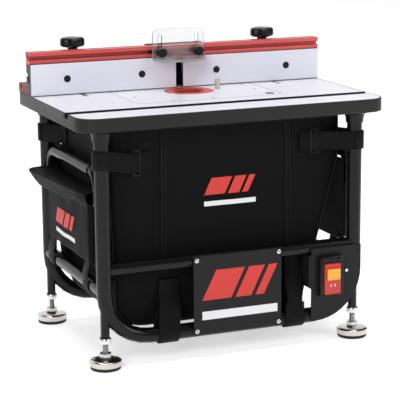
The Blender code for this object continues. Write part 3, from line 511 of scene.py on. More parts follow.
def bag_bulge(x, z, face):
    """How far a front or rear panel stands out at (x, z)."""
    down = (BAG_TOP - z) / (BAG_TOP - BAG_BOTTOM)
    rise = math.sin(math.pi * max(0.0, min(1.0, down))) ** 0.8
    middle = math.cos(math.pi * x / (2 * SEAM_X)) if abs(x) < SEAM_X else 0.0
    wing = max(0.0, abs(x) - SEAM_X)
    reach = (bag_right(z) if x > 0 else bag_left(z)) - SEAM_X + 0.004
    belly = 0.0042 * middle ** 0.6 * rise if middle > 0 else 0.0
    flank = 0.0030 * math.sin(math.pi * min(1.0, wing / reach)) * rise if wing else 0.0
    pinch = -0.0016 * math.exp(-((abs(x) - SEAM_X) / 0.006) ** 2)
    crease = folds(x * 13.0, face * 3.0, z * 5.0, 4.0 + face) * 0.0011
    tug = folds((x + 0.55 * z) * 17.0, face * 2.0, (z - 0.4 * x) * 7.0, 9.0) * 0.0010
    pull = math.exp(-((abs(x) - 0.160) / 0.05) ** 2 - ((z - 0.365) / 0.05) ** 2)
    rays = math.sin(26.0 * math.atan2(z - 0.372, abs(x) - 0.235)) * 0.0010 * pull
    return belly + flank + pinch + (crease + tug) * (0.35 + 0.65 * rise) + rays


def bag_side_bulge(y, z, face):
    down = (BAG_TOP - z) / (BAG_TOP - BAG_BOTTOM)
    rise = math.sin(math.pi * max(0.0, min(1.0, down)))
    across = math.cos(math.pi * y / (2 * BAG_DEPTH))
    held = 1.0 if z < BAG_SHOULDER - 0.02 else 0.25
    return (0.0035 * rise * max(0.0, across) + folds(face * 4.0, y * 15.0, z * 6.0, 21.0) * 0.0012) * held


def bag_front_point(x, z, lift=0.0, face=-1):
    """A point on the front (face -1) or rear (face 1) panel, lifted off it by lift."""
    return Vector((x, face * (BAG_DEPTH + bag_bulge(x, z, face) + lift), z))


def bag_ring(z, depth, scale=1.0, inset=0.0, corner=0.0085):
    """The bag's outline at height z, as one closed row of points."""
    right, left = bag_right(z) - inset, -(bag_left(z) - inset)
    wide, deep = 66, 34
    ring = []

    def turn_corner(x, y, start):
        for i in (1, 2, 3):
            a = math.radians(start + 22.5 * i)
            ring.append(Vector((x + corner * math.cos(a), y + corner * math.sin(a), z)))

    for i in range(wide + 1):
        x = left + corner + (right - left - 2 * corner) * i / wide
        ring.append(Vector((x, -(depth + bag_bulge(x, z, -1) * scale), z)))
    turn_corner(right - corner, -depth + corner, 270)
    for i in range(deep + 1):
        y = (depth - corner) * (2.0 * i / deep - 1.0)
        ring.append(Vector((right + bag_side_bulge(y, z, 1) * scale, y, z)))
    turn_corner(right - corner, depth - corner, 0)
    for i in range(wide + 1):
        x = right - corner - (right - left - 2 * corner) * i / wide
        ring.append(Vector((x, depth + bag_bulge(x, z, 1) * scale, z)))
    turn_corner(left + corner, depth - corner, 90)
    for i in range(deep + 1):
        y = (depth - corner) * (1.0 - 2.0 * i / deep)
        ring.append(Vector((left - bag_side_bulge(y, z, -1) * scale, y, z)))
    turn_corner(left + corner, -depth + corner, 180)
    return ring


def make_bag():
    rows = []
    steps = 70
    low = BAG_BOTTOM + 0.009
    for k in range(steps + 1):
        z = BAG_TOP + (low - BAG_TOP) * k / steps
        rows.append(bag_ring(z, BAG_DEPTH, ease(k / 3.0) * min(1.0, 0.25 + 0.06 * (steps - k))))
    for k in range(1, 5):
        a = math.radians(22.5 * k)
        inset = 0.009 * (1.0 - math.cos(a))
        rows.append(bag_ring(low - 0.009 * math.sin(a), BAG_DEPTH - inset, 0.25 - 0.06 * k, inset))
    edge = rows[-1]
    middle = (edge[0].x + edge[66].x) / 2
    for share in (0.93, 0.8, 0.6, 0.35, 0.1):
        sag = 0.0010 * (1.0 - share ** 2)
        rows.append([Vector((middle + (p.x - middle) * share, p.y * share, BAG_BOTTOM - sag
                             + 0.0006 * folds(p.x * 20 * share, p.y * 20 * share, 0.0, 33.0)))
                     for p in edge])
    skin = bmesh.new()
    grid = bridge(skin, rows, closed=True, caps=False)
    skin.faces.new(grid[-1])
    bmesh.ops.recalc_face_normals(skin, faces=skin.faces)
    bmesh.ops.solidify(skin, geom=skin.faces[:], thickness=CLOTH)
    bag = sewn("dust_bag", skin, MATERIALS["nylon"], 80.0)
    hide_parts("bag_front", "bag_rear", "bag_left", "bag_right", "bag_floor")


def make_bag_seams():
    """Raised double piping down the front and rear panels, corner piping and the top hem."""
    heights = [BAG_BOTTOM + 0.010 + (BAG_TOP - BAG_BOTTOM - 0.014) * k / 44 for k in range(45)]
    for end, face in ENDS:
        for side, sign in SIDES:
            bm = bmesh.new()
            for offset in (-0.0042, 0.0042):
                bow = [SEAM_X + offset + 0.0018 * math.sin(math.pi * k / 44) for k in range(45)]
                tube([bag_front_point(sign * x, z, 0.0011, face) for x, z in zip(bow, heights)],
                     0.0016, 8, bm)
            sewn(f"bag_piping_{end}_{side}", bm, BINDING)
            rows = []
            for offset in (-0.0034, -0.0012, 0.0012, 0.0034):
                rows.append([bag_front_point(sign * (SEAM_X + offset + 0.0018 * math.sin(math.pi * k / 44)),
                                             z, 0.0009, face) for k, z in enumerate(heights)])
            sewn(f"bag_seam_tape_{end}_{side}", shell(rows, 0.0007), WEBBING)
            low = BAG_BOTTOM + 0.006
            path = []
            for k in range(65):
                z = low + (BAG_TOP - low - 0.004) * ease(k / 64) ** 1.4
                half = bag_right(z) if sign > 0 else bag_left(z)
                path.append((sign * (half - 0.0017), face * (BAG_DEPTH - 0.0017), z))
            sewn(f"bag_corner_piping_{end}_{side}", tube(path, 0.0021, 8), BINDING)
    for level, label in ((BAG_TOP - 0.0035, "rim"), (BAG_TOP - 0.026, "hem")):
        ring = bag_ring(level, BAG_DEPTH + 0.0004, 0.9, -0.0004)
        radius = 0.0016 if label == "rim" else 0.0007
        sewn(f"bag_top_{label}", tube(ring + [ring[0]], radius, 6), BINDING)


make_bag()
make_bag_seams()


# ---------------------------------------------------------------- emblems
def emblem_shapes(width, height):
    """A plain mark: slanted red bars of falling width over one white line."""
    lean = height * 0.30
    top, low = height, height * 0.40
    left = -width / 2
    red = []
    for start, end in ((0.0, 0.40), (0.46, 0.68), (0.74, 0.86)):
        a, b = left + width * start, left + width * end
        red.append([(a, low), (b, low), (b + lean, top), (a + lean, top)])
    tail = width * 0.86 + lean
    white = [[(left, 0.0), (left + tail, 0.0), (left + tail, height * 0.17), (left, height * 0.17)]]
    return red, white


def printed(name, quads, surface, material, body, steps=(14, 6)):
    """Ink laid on a surface: each quad is a grid of points lifted just off it."""
    for number, (a, b, c, d) in enumerate(quads):
        a, b, c, d = (Vector(p) for p in (a, b, c, d))
        rows = []
        for j in range(steps[1] + 1):
            t = j / steps[1]
            left, right = a.lerp(d, t), b.lerp(c, t)
            rows.append([surface(*left.lerp(right, i / steps[0])) for i in range(steps[0] + 1)])
        piece(f"{name}_{number + 1}", shell(rows, 0.0003), material, body)


def flat_quads(name, quads, transform, material, body):
    for number, quad in enumerate(quads):
        piece(f"{name}_{number + 1}", slab(quad, 0.0003, transform), material, body)


def make_emblems():
    red, white = emblem_shapes(0.104, 0.053)
    centre_x, base = 0.0052, 0.2805

    def cover(x, z):
        return bag_front_point(centre_x + x, base + z, 0.0007)

    printed("bag_emblem_red", red, cover, PRINT_RED, "table")
    printed("bag_emblem_white", white, cover, PRINT_WHITE, "table")
    red, white = emblem_shapes(0.146, 0.094)
    place = Matrix.Translation((0.0048, -0.18185, 0.0735)) @ Matrix.Rotation(math.pi / 2, 4, "X")
    flat_quads("plate_emblem_red", red, place, PRINT_RED, "table")
    flat_quads("plate_emblem_white", white, place, PRINT_WHITE, "table")


make_emblems()


# ---------------------------------------------------------------- straps
LEG_X, LEG_Y, TUBE = 0.254, 0.165, 0.0143
STRAP = 0.0016
BOTTOM_RAIL = (LEG_Y, 0.0526)     # y and z of the bottom rail's axis


def around_leg(sx, sy, level_start, level_leg):
    """The path of a strap in plan: off the bag, round the leg's outside and back to the bag's side."""
    radius = TUBE + STRAP / 2 + 0.0006
    plan = [(0.150, 0.1402), (0.160, 0.1410), (0.170, 0.1414), (0.178, 0.1428)]
    start = 118.8
    tangent = (LEG_X + radius * math.cos(math.radians(start)), LEG_Y + radius * math.sin(math.radians(start)))
    for k in range(1, 5):
        t = k / 5
        sag = 0.0016 * math.sin(math.pi * t)
        plan.append((0.178 + (tangent[0] - 0.178) * t, 0.1428 + (tangent[1] - 0.1428) * t - sag))
    for k in range(15):
        a = math.radians(start - 157.4 * k / 14)
        plan.append((LEG_X + radius * math.cos(a), LEG_Y + radius * math.sin(a)))
    last = plan[-1]
    for k in range(1, 4):
        t = k / 4
        plan.append((last[0] + (0.2362 - last[0]) * t, last[1] + (0.1180 - last[1]) * t))
    plan += [(0.2366, 0.1165), (0.2368, 0.108), (0.2368, 0.094)]
    path = []
    for k, (a, b) in enumerate(plan):
        share = ease((k - 3) / 6)
        path.append(Vector((sx * a, sy * b, level_start + (level_leg - level_start) * share)))
    return path


def make_upper_straps():
    levels = {("front", "left"): (0.3735, 0.3890), ("front", "right"): (0.3880, 0.3890),
              ("rear", "left"): (0.3880, 0.3890), ("rear", "right"): (0.3735, 0.3890)}
    for end, sy in ENDS:
        for side, sx in SIDES:
            start, leg = levels[(end, side)]
            path = around_leg(sx, sy, start, leg)
            strap = ribbon(path, (0, 0, 1), 0.0355, STRAP)
            sewn(f"leg_strap_{end}_{side}", strap, WEBBING)
            lifted = []
            for k in range(9, 22):
                p = path[k]
                out = Vector((p.x - sx * LEG_X, p.y - sy * LEG_Y, 0.0)).normalized()
                lifted.append(p + out * (STRAP + 0.0003))
            sewn(f"leg_strap_end_{end}_{side}", ribbon(lifted, (0, 0, 1), 0.0335, 0.0012), WEBBING)
            anchor = [bag_front_point(sx * x, start, 0.0034, sy) for x in (0.1495, 0.156, 0.163, 0.170)]
            sewn(f"leg_strap_anchor_{end}_{side}", ribbon(anchor, (0, 0, 1), 0.0390, 0.0010),
                 MATERIALS["nylon"])
            loop = round_loop(0.0065, 0.0225, 0.0012)
            keeper = [Vector((sx * 0.1795, sy * 0.1442, start)) + Vector((sx * u, sy * w, v))
                      for u, v, w in loop]
            piece(f"leg_strap_keeper_{end}_{side}", tube(keeper + keeper[:2], 0.0014, 8),
                  MATERIALS["black_plastic"], "table")


def round_loop(half_u, half_v, corner, steps=4):
    """A rounded rectangular ring in the strap's own plane, slightly bowed."""
    ring = []
    for cu, cv, start in ((1, 1, 0), (-1, 1, 90), (-1, -1, 180), (1, -1, 270)):
        for k in range(steps + 1):
            a = math.radians(start + 90 * k / steps)
            u = cu * (half_u - corner) + corner * math.cos(a)
            v = cv * (half_v - corner) + corner * math.sin(a)
            ring.append((u, v, 0.0012 * (u / half_u)))
    return ring


def under_rail(sy, top_z, lift):
    """(y, z) points down the bag's face, round the bottom rail and back up behind it."""
    radius = TUBE + STRAP / 2 + 0.0006
    centre = BOTTOM_RAIL
    first = (0.1414 + lift, top_z)
    leave = (0.1424 + lift, top_z - 0.020)
    dy, dz = centre[0] - leave[0], centre[1] - leave[1]
    away = math.hypot(dy, dz)
    start = math.atan2(dz, dy) + math.asin(radius / away) + math.pi / 2
    points = [first, ((first[0] + leave[0]) / 2, (first[1] + leave[1]) / 2), leave]
    touch = (centre[0] + radius * math.cos(start), centre[1] + radius * math.sin(start))
    for k in range(1, 8):
        t = k / 8
        bow = 0.0022 * math.sin(math.pi * t)
        points.append((leave[0] + (touch[0] - leave[0]) * t + bow, leave[1] + (touch[1] - leave[1]) * t))
    span = start + math.pi - math.radians(8.0)
    for k in range(17):
        a = start - span * k / 16
        points.append((centre[0] + radius * math.cos(a), centre[1] + radius * math.sin(a)))
    points += [(0.1478, 0.066), (0.1446, 0.078), (0.1424, 0.092)]
    return [(sy * y, z) for y, z in points]


def make_lower_straps():
    """Webbing from the bag's panels round the bottom rails."""
    for end, sy in ENDS:
        for side, _ in SIDES:
            left_like = (side == "left") == (end == "front")
            if left_like:
                top, x_top, x_low, waist, width = 0.1490, -0.1170, -0.1330, 0.0, 0.0425
            else:
                top, x_top, x_low, waist, width = 0.1700, 0.1400, 0.1235, 0.0130, 0.0430
            x_top, x_low = -sy * x_top, -sy * x_low
            path, widths = [], []
            for y, z in under_rail(sy, top, 0.0012):
                share = ease((top - z) / (top - 0.045))
                pinch = math.exp(-((z - 0.088) / 0.020) ** 2)
                pleat = 0.0012 * math.sin(z * 120.0) * pinch
                path.append(Vector((x_top + (x_low - x_top) * share, y - sy * pleat, z)))
                widths.append(width - waist * pinch)
            sewn(f"rail_strap_{end}_{side}", ribbon(path, (1, 0, 0), widths, STRAP), WEBBING)
            cuff = path[8:22]
            outer = []
            for p in cuff:
                out = Vector((0.0, p.y - sy * BOTTOM_RAIL[0], p.z - BOTTOM_RAIL[1])).normalized()
                outer.append(p + out * (STRAP + 0.0003))
            sewn(f"rail_strap_end_{end}_{side}", ribbon(outer, (1, 0, 0), width - 0.004, 0.0012), WEBBING)
            for row, z in enumerate((top - 0.003, top - 0.012)):
                stitch = [bag_front_point(x_top + (i / 8 - 0.5) * (width - 0.006), z, 0.0046, sy)
                          for i in range(9)]
                sewn(f"rail_strap_stitch_{end}_{side}_{row}", tube(stitch, 0.0005, 6), BINDING)


make_upper_straps()
make_lower_straps()


# ---------------------------------------------------------------- side pouches
POUCH_BACK, POUCH_FRONT = 0.2422, 0.2672
POUCH_LOW, POUCH_MOUTH = 0.1868, 0.2985
POUCH_HALF = 0.1262


def pouch_bulge(y, z):
    down = max(0.0, min(1.0, (POUCH_MOUTH - z) / (POUCH_MOUTH - POUCH_LOW)))
    along = max(0.0, math.cos(math.pi * y / (2 * POUCH_HALF)))
    belly = 0.0042 * math.sin(math.pi * (0.12 + 0.80 * down)) * along ** 0.5
    slack = folds(y * 14.0, z * 9.0, 3.0, 51.0) * 0.0013
    droop = 0.0010 * math.sin(y * 60.0 + z * 30.0)
    return belly + slack * (0.3 + along) + droop * along


def pouch_point(turn, y, z, lift=0.0):
    return turn @ Vector((POUCH_FRONT + pouch_bulge(y, z) + lift, y, z))


def pouch_ring(turn, z, front=POUCH_FRONT, shrink=0.0, scale=1.0):
    """A rounded box section: back, end, bulging front, end."""
    corner = 0.0055
    half = POUCH_HALF - shrink
    back = POUCH_BACK + shrink * 0.2
    ring = []
    for k in range(25):
        y = (half - corner * 0.5) * (2.0 * k / 24 - 1.0)
        ring.append((back, y))
    ring += [(back + 0.004, half), ((back + front) / 2, half + 0.0012 * scale), (front - corner, half)]
    ring.append((front - corner * 0.3, half - corner * 0.3))
    for k in range(41):
        y = (half - corner) * (1.0 - 2.0 * k / 40)
        ring.append((front + pouch_bulge(y, z) * scale, y))
    ring.append((front - corner * 0.3, -half + corner * 0.3))
    ring += [(front - corner, -half), ((back + front) / 2, -half - 0.0012 * scale), (back + 0.004, -half)]
    return [turn @ Vector((a, b, z)) for a, b in ring]


def flap_section(t, side_curl):
    """(a, z) points over the fold, out to the ridge and down the lip; t is 0 at the short end, 1 flared."""
    tucked = max(0.0, 1.0 - t / 0.12) ** 2
    ridge = 0.2800 + 0.0185 * t ** 1.3 - 0.0050 * tucked
    ridge_z = 0.3200 + 0.0015 * t
    lip_z = 0.3035 - 0.0145 * t ** 0.75
    lip = 0.2745 + 0.0035 * t - 0.0040 * tucked
    return [(0.2424, 0.3170), (0.2440, 0.3225), (0.2500, 0.3240),
            ((0.2500 + ridge) / 2, (0.3245 + ridge_z) / 2 + 0.0004), (ridge - 0.0050, ridge_z + 0.0008),
            (ridge, ridge_z - 0.0018), (ridge - 0.0020, ridge_z - 0.0060),
            ((ridge + lip) / 2 - 0.0005 + side_curl, (ridge_z + lip_z) / 2 - 0.002), (lip, lip_z)]


def make_pouch(side, turn):
    rows = []
    for k in range(22):
        z = POUCH_MOUTH - (POUCH_MOUTH - POUCH_LOW - 0.008) * k / 21
        rows.append(pouch_ring(turn, z))
    for k in (1, 2, 3):
        a = math.radians(30.0 * k)
        inset = 0.008 * (1.0 - math.cos(a))
        rows.append(pouch_ring(turn, POUCH_LOW + 0.008 * (1.0 - math.sin(a)), POUCH_FRONT - inset, inset,
                               1.0 - 0.25 * k))
    skin = bmesh.new()
    grid = bridge(skin, rows, closed=True, caps=False)
    skin.faces.new(grid[-1])
    bmesh.ops.recalc_face_normals(skin, faces=skin.faces)
    bmesh.ops.solidify(skin, geom=skin.faces[:], thickness=0.0015)
    body = sewn(f"pouch_body_{side}", skin, MATERIALS["nylon"], 80.0)
    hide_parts(f"side_pouch_{side}")
    back = []
    for k in range(25):
        z = 0.2010 + 0.1480 * k / 24
        droop = 0.0030 * ease((z - 0.30) / 0.05)
        back.append([turn @ Vector((0.2410 + 0.0004 * folds(y * 10.0, z * 14.0, 0.0, 57.0), y,
                                    z - droop * math.cos(math.pi * y / 0.30)))
                     for y in (0.1490 * (2.0 * i / 50 - 1.0) for i in range(51))])
    panel = sewn(f"pouch_back_{side}", shell(back, 0.0012), MATERIALS["nylon"])
    edge = [turn @ Vector((0.2410, 0.1480 * (2.0 * i / 40 - 1.0), 0.3486 - 0.0030 * math.cos(
        math.pi * 0.1480 * (2.0 * i / 40 - 1.0) / 0.30))) for i in range(41)]
    sewn(f"pouch_back_binding_{side}", tube(edge, 0.0012, 6), BINDING)

    sections, count = [], 34
    for i in range(count + 1):
        share = i / count
        t = ease(share * 1.06) * 0.55 + share * 0.45
        y = -0.1265 + 0.2600 * share
        flare = 0.0045 * max(0.0, (share - 0.80) / 0.20) ** 2
        curl = 0.0012 * math.sin(9.0 * share) + 0.0014 * folds(share * 3.0, 0.0, 0.0, 71.0)
        line = []
        section = smooth_path([(a, 0.0, z) for a, z in flap_section(t, curl)], 3)
        for j, point in enumerate(section):
            out = ease(j / 12)
            wave = 0.0012 * folds(share * 5.0, j * 0.13, 0.0, 77.0) * out
            spread = flare * out + 0.006 * out * (share - 0.3)
            line.append(turn @ Vector((point.x + wave, y + spread, point.z + wave)))
        sections.append(line)
    flap = sewn(f"pouch_flap_{side}", shell(sections, 0.0017), MATERIALS["nylon"])
    edge = [line[-1] for line in sections]
    sewn(f"pouch_flap_binding_{side}", tube(edge, 0.0016, 8), BINDING)
    for label, line in (("short", sections[0]), ("flared", sections[-1])):
        sewn(f"pouch_flap_edge_{label}_{side}", tube(line[2:], 0.0014, 8), BINDING)
    mouth = pouch_ring(turn, POUCH_MOUTH - 0.0005, scale=1.0)
    sewn(f"pouch_mouth_binding_{side}", tube(mouth + mouth[:1], 0.0013, 6), BINDING)
    for label, sign in (("near", -1), ("far", 1)):
        y = sign * (POUCH_HALF - 0.003)
        line = [pouch_point(turn, y, POUCH_LOW + 0.010 + (POUCH_MOUTH - POUCH_LOW - 0.012) * k / 16, -0.0006)
                for k in range(17)]
        sewn(f"pouch_seam_{label}_{side}", tube(line, 0.0014, 6), BINDING)


def make_pouch_emblem(side, turn):
    along = -1.0 if side == "left" else 1.0
    red, white = emblem_shapes(0.118, 0.050)

    def cover(u, v):
        return pouch_point(turn, along * (u - 0.006), 0.2120 + v, 0.0007)

    printed(f"pouch_emblem_red_{side}", red, cover, PRINT_RED, "table")
    printed(f"pouch_emblem_white_{side}", white, cover, PRINT_WHITE, "table")


def make_pouch_straps(side, turn):
    """Two webbing loops from the pouch's floor round the side rail."""
    radius = 0.0127 + STRAP / 2 + 0.0006
    centre = (0.254, 0.1445)
    for label, y, width in (("near", -0.098, 0.030), ("far", 0.112, 0.036)):
        plan = [(0.2600, 0.1880), (0.2640, 0.1790), (0.2680, 0.1640)]
        for k in range(17):
            a = math.radians(32.0 - 244.0 * k / 16)
            plan.append((centre[0] + radius * math.cos(a), centre[1] + radius * math.sin(a)))
        plan += [(0.2424, 0.1600), (0.2440, 0.1740), (0.2470, 0.1860)]
        path = [turn @ Vector((a, y, z)) for a, z in plan]
        piece(f"pouch_strap_{label}_{side}", ribbon(path, turn @ Vector((0.0, 1.0, 0.0)), width, STRAP),
              WEBBING, "table")


def make_side_cloths(side, turn):
    """Fabric behind the pouch: an apron past the side rail, on the left side only, and a hanger at the far
    leg.
    """
    apron = []
    for k in range(13):
        z = 0.2060 - 0.0780 * k / 12
        seam = 0.0026 * (1.0 - ease(k / 4))
        apron.append([turn @ Vector((0.2368 + seam + 0.0004 * folds(y * 9.0, z * 20.0, 0.0, 61.0), y, z))
                      for y in (-0.0600 + 0.2080 * i / 30 for i in range(31))])
    if side == "left":
        cloth = sewn("pouch_apron_left", shell(apron, 0.0012), MATERIALS["nylon"])
    hanger = []
    for k in range(9):
        z = 0.3100 + 0.0590 * k / 8
        hanger.append([turn @ Vector((0.2384 + 0.0004 * folds(y * 16.0, z * 12.0, 0.0, 63.0), y, z))
                       for y in (0.0600 + 0.1120 * i / 16 for i in range(17))])
    cloth = sewn(f"pouch_hanger_{side}", shell(hanger, 0.0012), MATERIALS["nylon"])


MIRRORS = {"right": Matrix.Diagonal((1.0, 1.0, 1.0)), "left": Matrix.Diagonal((-1.0, 1.0, 1.0))}
for pouch_side, mirror in MIRRORS.items():
    make_pouch(pouch_side, mirror)
    make_pouch_emblem(pouch_side, mirror)
    make_pouch_straps(pouch_side, mirror)
    make_side_cloths(pouch_side, mirror)


# ---------------------------------------------------------------- feet
def thread_profile(radius, depth, low, high, pitch):
    profile, z = [(0.0, low), (radius - depth, low)], low
    while z + pitch < high:
        profile += [(radius, z + pitch * 0.5), (radius - depth, z + pitch)]
        z += pitch
    return profile + [(radius - depth, high), (0.0, high)]


HEXAGON = 0.0115                 # corner radius of the wrench hexagon


def make_feet():
    for end, _ in ENDS:
        for side, _ in SIDES:
            label = f"{end}_{side}"
            low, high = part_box(f"foot_stem_{label}")
            centre = ((low.x + high.x) / 2, (low.y + high.y) / 2, 0.0)
            stem = lathe(thread_profile(0.0055, 0.0006, low.z, high.z, 0.00175), centre, 20)
            wrench = [(HEXAGON * math.cos(a), HEXAGON * math.sin(a))
                      for a in (math.radians(60 * k) for k in range(6))]
            shoulder = [(x * 0.94, y * 0.94) for x, y in wrench]
            levels = ((shoulder, 0.0216), (wrench, 0.0224), (wrench, 0.0289), (shoulder, 0.0297))
            bridge(stem, [[Vector((x, y, z)) + Vector(centre) for x, y in outline] for outline, z in levels])
            stem_piece = piece(f"threaded_stem_{label}", stem, THREAD, f"stem_{label}", 25.0)
            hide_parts(f"foot_stem_{label}")
            profile = [(0.01008, 0.0484), (0.0106, 0.0479), (0.0112, 0.0485), (0.0112, 0.0571),
                       (0.0106, 0.0578), (0.01008, 0.0575)]
            piece(f"collar_nut_{label}", hoop(profile, centre, 32), COLLAR, "table")


make_feet()


# ---------------------------------------------------------------- small hardware
def pan_screw(name, place, radius=0.0044, height=0.0018, cross=True):
    """A domed screw head facing the front; its cross recess is a black inlay, painted shade in the recess."""
    profile = [(radius * 0.98, 0.0), (radius, height * 0.35), (radius * 0.86, height * 0.78),
               (radius * 0.5, height), (radius * 0.12, height * 1.04)]
    piece(name, lathe(profile, place, 20, FACING_FRONT), BRIGHT_SCREW, "table")
    if cross:
        arm, thin = radius * 0.55, radius * 0.11
        outline = [(-arm, -thin), (-thin, -thin), (-thin, -arm), (thin, -arm), (thin, -thin), (arm, -thin),
                   (arm, thin), (thin, thin), (thin, arm), (-thin, arm), (-thin, thin), (-arm, thin)]
        level = height * 1.02
        cut = bmesh.new()
        bridge(cut, [[Vector(place) + FACING_FRONT @ Vector((x, y, h)) for x, y in outline]
                     for h in (level, level + 0.00015)])
        piece(name + "_recess", cut, RECESS_SHADE, "table")


def disc(name, x, y, radius, material, height, base):
    profile = [(radius, 0.0), (radius * 0.97, height * 0.6), (radius * 0.6, height), (0.0002, height)]
    piece(name, lathe([(r, base + h) for r, h in profile], (x, y, 0.0), 20), material, "table")


def rim(name, place, inner, outer, height, facing, material, body):
    profile = [(inner, 0.0), (outer, 0.0), (outer, height * 0.7), (outer * 0.96, height),
               (inner * 1.05, height), (inner, height * 0.6)]
    piece(name, hoop(profile, place, 24, facing), material, body)


PLATE_SKIN = 0.4701               # just above the insert plate's top
PLATE_SCREWS = ((-0.0787, 0.1885), (0.0882, 0.1892), (-0.0787, 0.0527), (0.0884, 0.0527))
RIVET = (0.2318, 0.1380)
LEVELLERS = ((-0.1260, 0.0070), (-0.0480, 0.0330), (-0.0740, -0.0600), (0.0075, -0.0600),
             (0.1280, 0.0150), (-0.1260, 0.1400), (0.1280, 0.0800))
CRANK_PORT = (0.1285, -0.0530, PLATE_SKIN)


def make_screws():
    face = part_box("nameplate")[0].y - 0.0001
    for number, (x, z) in enumerate(PLATE_SCREWS):
        pan_screw(f"nameplate_screw_{number + 1}", (x, face, z))
    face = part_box("switch_plate")[0].y - 0.0001
    pan_screw("switch_plate_rivet", (RIVET[0], face, RIVET[1]), 0.0034, 0.0014, cross=False)
    for number, (x, y) in enumerate(LEVELLERS):
        disc(f"levelling_screw_{number + 1}", x, y, 0.0026, DARK_SCREW, 0.0002, PLATE_SKIN)
        # Painted shade: a black disc in each levelling screw's socket.
        disc(f"levelling_socket_{number + 1}", x, y, 0.0013, RECESS_SHADE, 0.0001, PLATE_SKIN + 0.00018)
    rim("crank_port_rim", CRANK_PORT, 0.0064, 0.0086, 0.0006, FACING_UP, DARK_SCREW, "table")
    for label, _ in SIDES:
        low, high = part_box(f"guard_knob_{label}")
        middle = (low + high) / 2
        rim(f"guard_knob_rim_{label}", (middle.x, low.y - 0.0001, middle.z), 0.0034, 0.0052, 0.0005,
            FACING_FRONT, MATERIALS["black_plastic"], f"guard_knob_{label}_body")


make_screws()


# ---------------------------------------------------------------- fence and switch details
def strip(name, low, high, material, body, slot, soft=0.0002):
    """A thin bar with eased edges between two corners."""
    bm = bmesh.new()
    outline = [(low[1], low[2]), (high[1], low[2]), (high[1], high[2]), (low[1], high[2])]
    bridge(bm, [[Vector((x, y, z)) for y, z in outline] for x in (low[0], high[0])])
    bmesh.ops.bevel(bm, geom=bm.edges[:], offset=soft, segments=2, profile=0.5, affect="EDGES",
                    clamp_overlap=True)
    piece(name, bm, material, body)


def make_plate_seam():
    """The dark joint line round the insert plate."""
    low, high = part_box("insert_plate")
    corner = 0.016
    outline = []
    for cx, cy, start in ((1, 1, 0), (-1, 1, 90), (-1, -1, 180), (1, -1, 270)):
        x = (high.x - corner) if cx > 0 else (low.x + corner)
        y = (high.y - corner) if cy > 0 else (low.y + corner)
        for k in range(7):
            a = math.radians(start + 15 * k)
            outline.append((x, y, math.cos(a), math.sin(a)))
    rings = [[Vector((x + c * (corner + off), y + s * (corner + off), level)) for x, y, c, s in outline]
             for off, level in ((-0.0004, 0.4698), (0.0007, 0.4698), (0.0006, 0.47012), (-0.0003, 0.47012))]
    seam = bmesh.new()
    bridge(seam, rings + [rings[0]], caps=False)
    piece("insert_plate_seam", seam, DARK_SCREW, "table")


def make_fence_details():
    low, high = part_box("fence_rail")
    black = MATERIALS["black_aluminium"]
    # Painted shadow: two thin black strips along the edges of the front T-slot's mouth, standing in for the
    # shade under its lips.
    for label, z in (("upper", 0.5460), ("lower", 0.5398)):
        strip(f"rail_slot_shadow_{label}", (low.x, 0.0974, z - 0.00045), (high.x, 0.0982, z + 0.00045),
              black, "fence", "black_aluminium")
    # A thin black line along the rail's foot, and one along the foot of each fence facing on the table.
    strip("rail_foot_dark_line", (low.x + 0.002, 0.0968, 0.5316), (high.x - 0.002, 0.0972, 0.5327),
          black, "fence", "black_aluminium", 0.0001)
    for side, sx in SIDES:
        inner, outer = sorted((sx * 0.0085, sx * 0.3040))
        strip(f"face_foot_dark_line_{side}", (inner, 0.0918, 0.4706), (outer, 0.0924, 0.4717),
              MATERIALS["black_plastic"], f"face_{side}", "black_plastic", 0.0001)


def make_switch_details():
    low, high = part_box("switch_paddle")
    middle = (low.x + high.x) / 2
    for label, dx in (("left", -0.0042), ("right", 0.0042)):
        strip(f"paddle_rib_{label}", (middle + dx - 0.0009, low.y - 0.0006, low.z + 0.0150),
              (middle + dx + 0.0009, low.y + 0.0002, low.z + 0.0210), PRINT_WHITE, "rocker",
              "switch_red")
    low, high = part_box("switch_box")
    for label, x in (("left", low.x + 0.0085), ("right", high.x - 0.0085)):
        lobe = lathe([(0.0046, 0.0), (0.0046, 0.0022), (0.0030, 0.0034), (0.0006, 0.0036)],
                     (0.0, 0.0, 0.0), 20)
        turn = Matrix.Translation((x, low.y + 0.0006, high.z - 0.0060)) @ Matrix.Rotation(math.pi / 2, 4, "X")
        bmesh.ops.transform(lobe, matrix=turn, verts=lobe.verts)
        piece(f"switch_lobe_{label}", lobe, MATERIALS["black_plastic"], "table")


make_plate_seam()
make_fence_details()
make_switch_details()


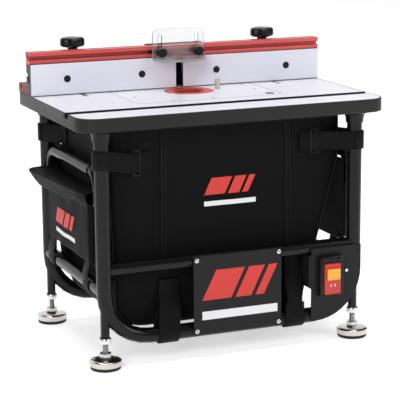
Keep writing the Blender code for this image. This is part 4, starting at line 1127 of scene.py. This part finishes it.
# ---------------------------------------------------------------- studio
def make_floor():
    bm = bmesh.new()
    rows = []
    for x in (-6.0, 6.0):
        row = [(x, -6.0, 0.0)]
        for k in range(13):
            a = math.radians(90.0 * k / 12)
            row.append((x, 3.2 + 1.6 * math.sin(a), 1.6 * (1.0 - math.cos(a))))
        row.append((x, 4.8, 6.0))
        rows.append(row)
    bridge(bm, rows, closed=False)
    mesh = bpy.data.meshes.new("studio_sweep")
    bm.to_mesh(mesh)
    bm.free()
    for face in mesh.polygons:
        face.use_smooth = True
    g = Graph("studio_paper", (0.90, 0.90, 0.905), 0.80, Emission_Color=(1.0, 1.0, 1.0, 1.0),
              Emission_Strength=0.58, Specular_IOR_Level=0.0)
    g.rough(g.noise(30.0), 0.05)
    mesh.materials.append(g.material)
    floor = bpy.data.objects.new("studio_sweep", mesh)
    bpy.context.scene.collection.objects.link(floor)
    floor.location.z = -0.0004


def make_light(name, place, target, width, height, power):
    data = bpy.data.lights.new(name, "AREA")
    data.shape = "RECTANGLE"
    data.size, data.size_y = width, height
    data.energy = power
    lamp = bpy.data.objects.new(name, data)
    lamp.location = place
    aim = Vector(target) - Vector(place)
    lamp.rotation_euler = aim.to_track_quat("-Z", "Y").to_euler()
    bpy.context.scene.collection.objects.link(lamp)


def make_studio():
    world = bpy.data.worlds.new("studio")
    bpy.context.scene.world = world
    world.use_nodes = True
    back = world.node_tree.nodes["Background"]
    back.inputs["Color"].default_value = (1.0, 1.0, 1.0, 1.0)
    back.inputs["Strength"].default_value = 0.08
    make_light("key_left", (-2.3, -2.6, 2.0), (0.0, 0.0, 0.3), 1.5, 1.5, 56.0)
    make_light("fill_right", (2.4, -2.4, 1.5), (0.0, 0.0, 0.3), 1.0, 1.8, 34.0)
    make_light("top_soft", (0.0, 0.2, 2.9), (0.0, 0.0, 0.4), 2.2, 2.2, 52.0)


CAMERA_PLACE = (-1.155, -2.8191, 0.9257)
CAMERA_TURN = (22.338, 12.3205, -0.4397)     # degrees of yaw, pitch and roll
CAMERA_LENS = 143.57


def make_camera():
    yaw, pitch, roll = (math.radians(a) for a in CAMERA_TURN)
    ahead = Vector((math.sin(yaw) * math.cos(pitch), math.cos(yaw) * math.cos(pitch), -math.sin(pitch)))
    right = Vector((math.cos(yaw), -math.sin(yaw), 0.0))
    up = right.cross(ahead)
    side = right * math.cos(roll) + up * math.sin(roll)
    top = up * math.cos(roll) - right * math.sin(roll)
    data = bpy.data.cameras.new("camera")
    data.lens = CAMERA_LENS
    data.sensor_width = 36.0
    data.clip_end = 50.0
    camera = bpy.data.objects.new("camera", data)
    turn = Matrix((side, top, -ahead)).transposed().to_4x4()
    camera.matrix_world = Matrix.Translation(CAMERA_PLACE) @ turn
    bpy.context.scene.collection.objects.link(camera)
    bpy.context.scene.camera = camera


make_floor()
make_studio()
make_camera()
bpy.context.scene.view_settings.view_transform = "Standard"
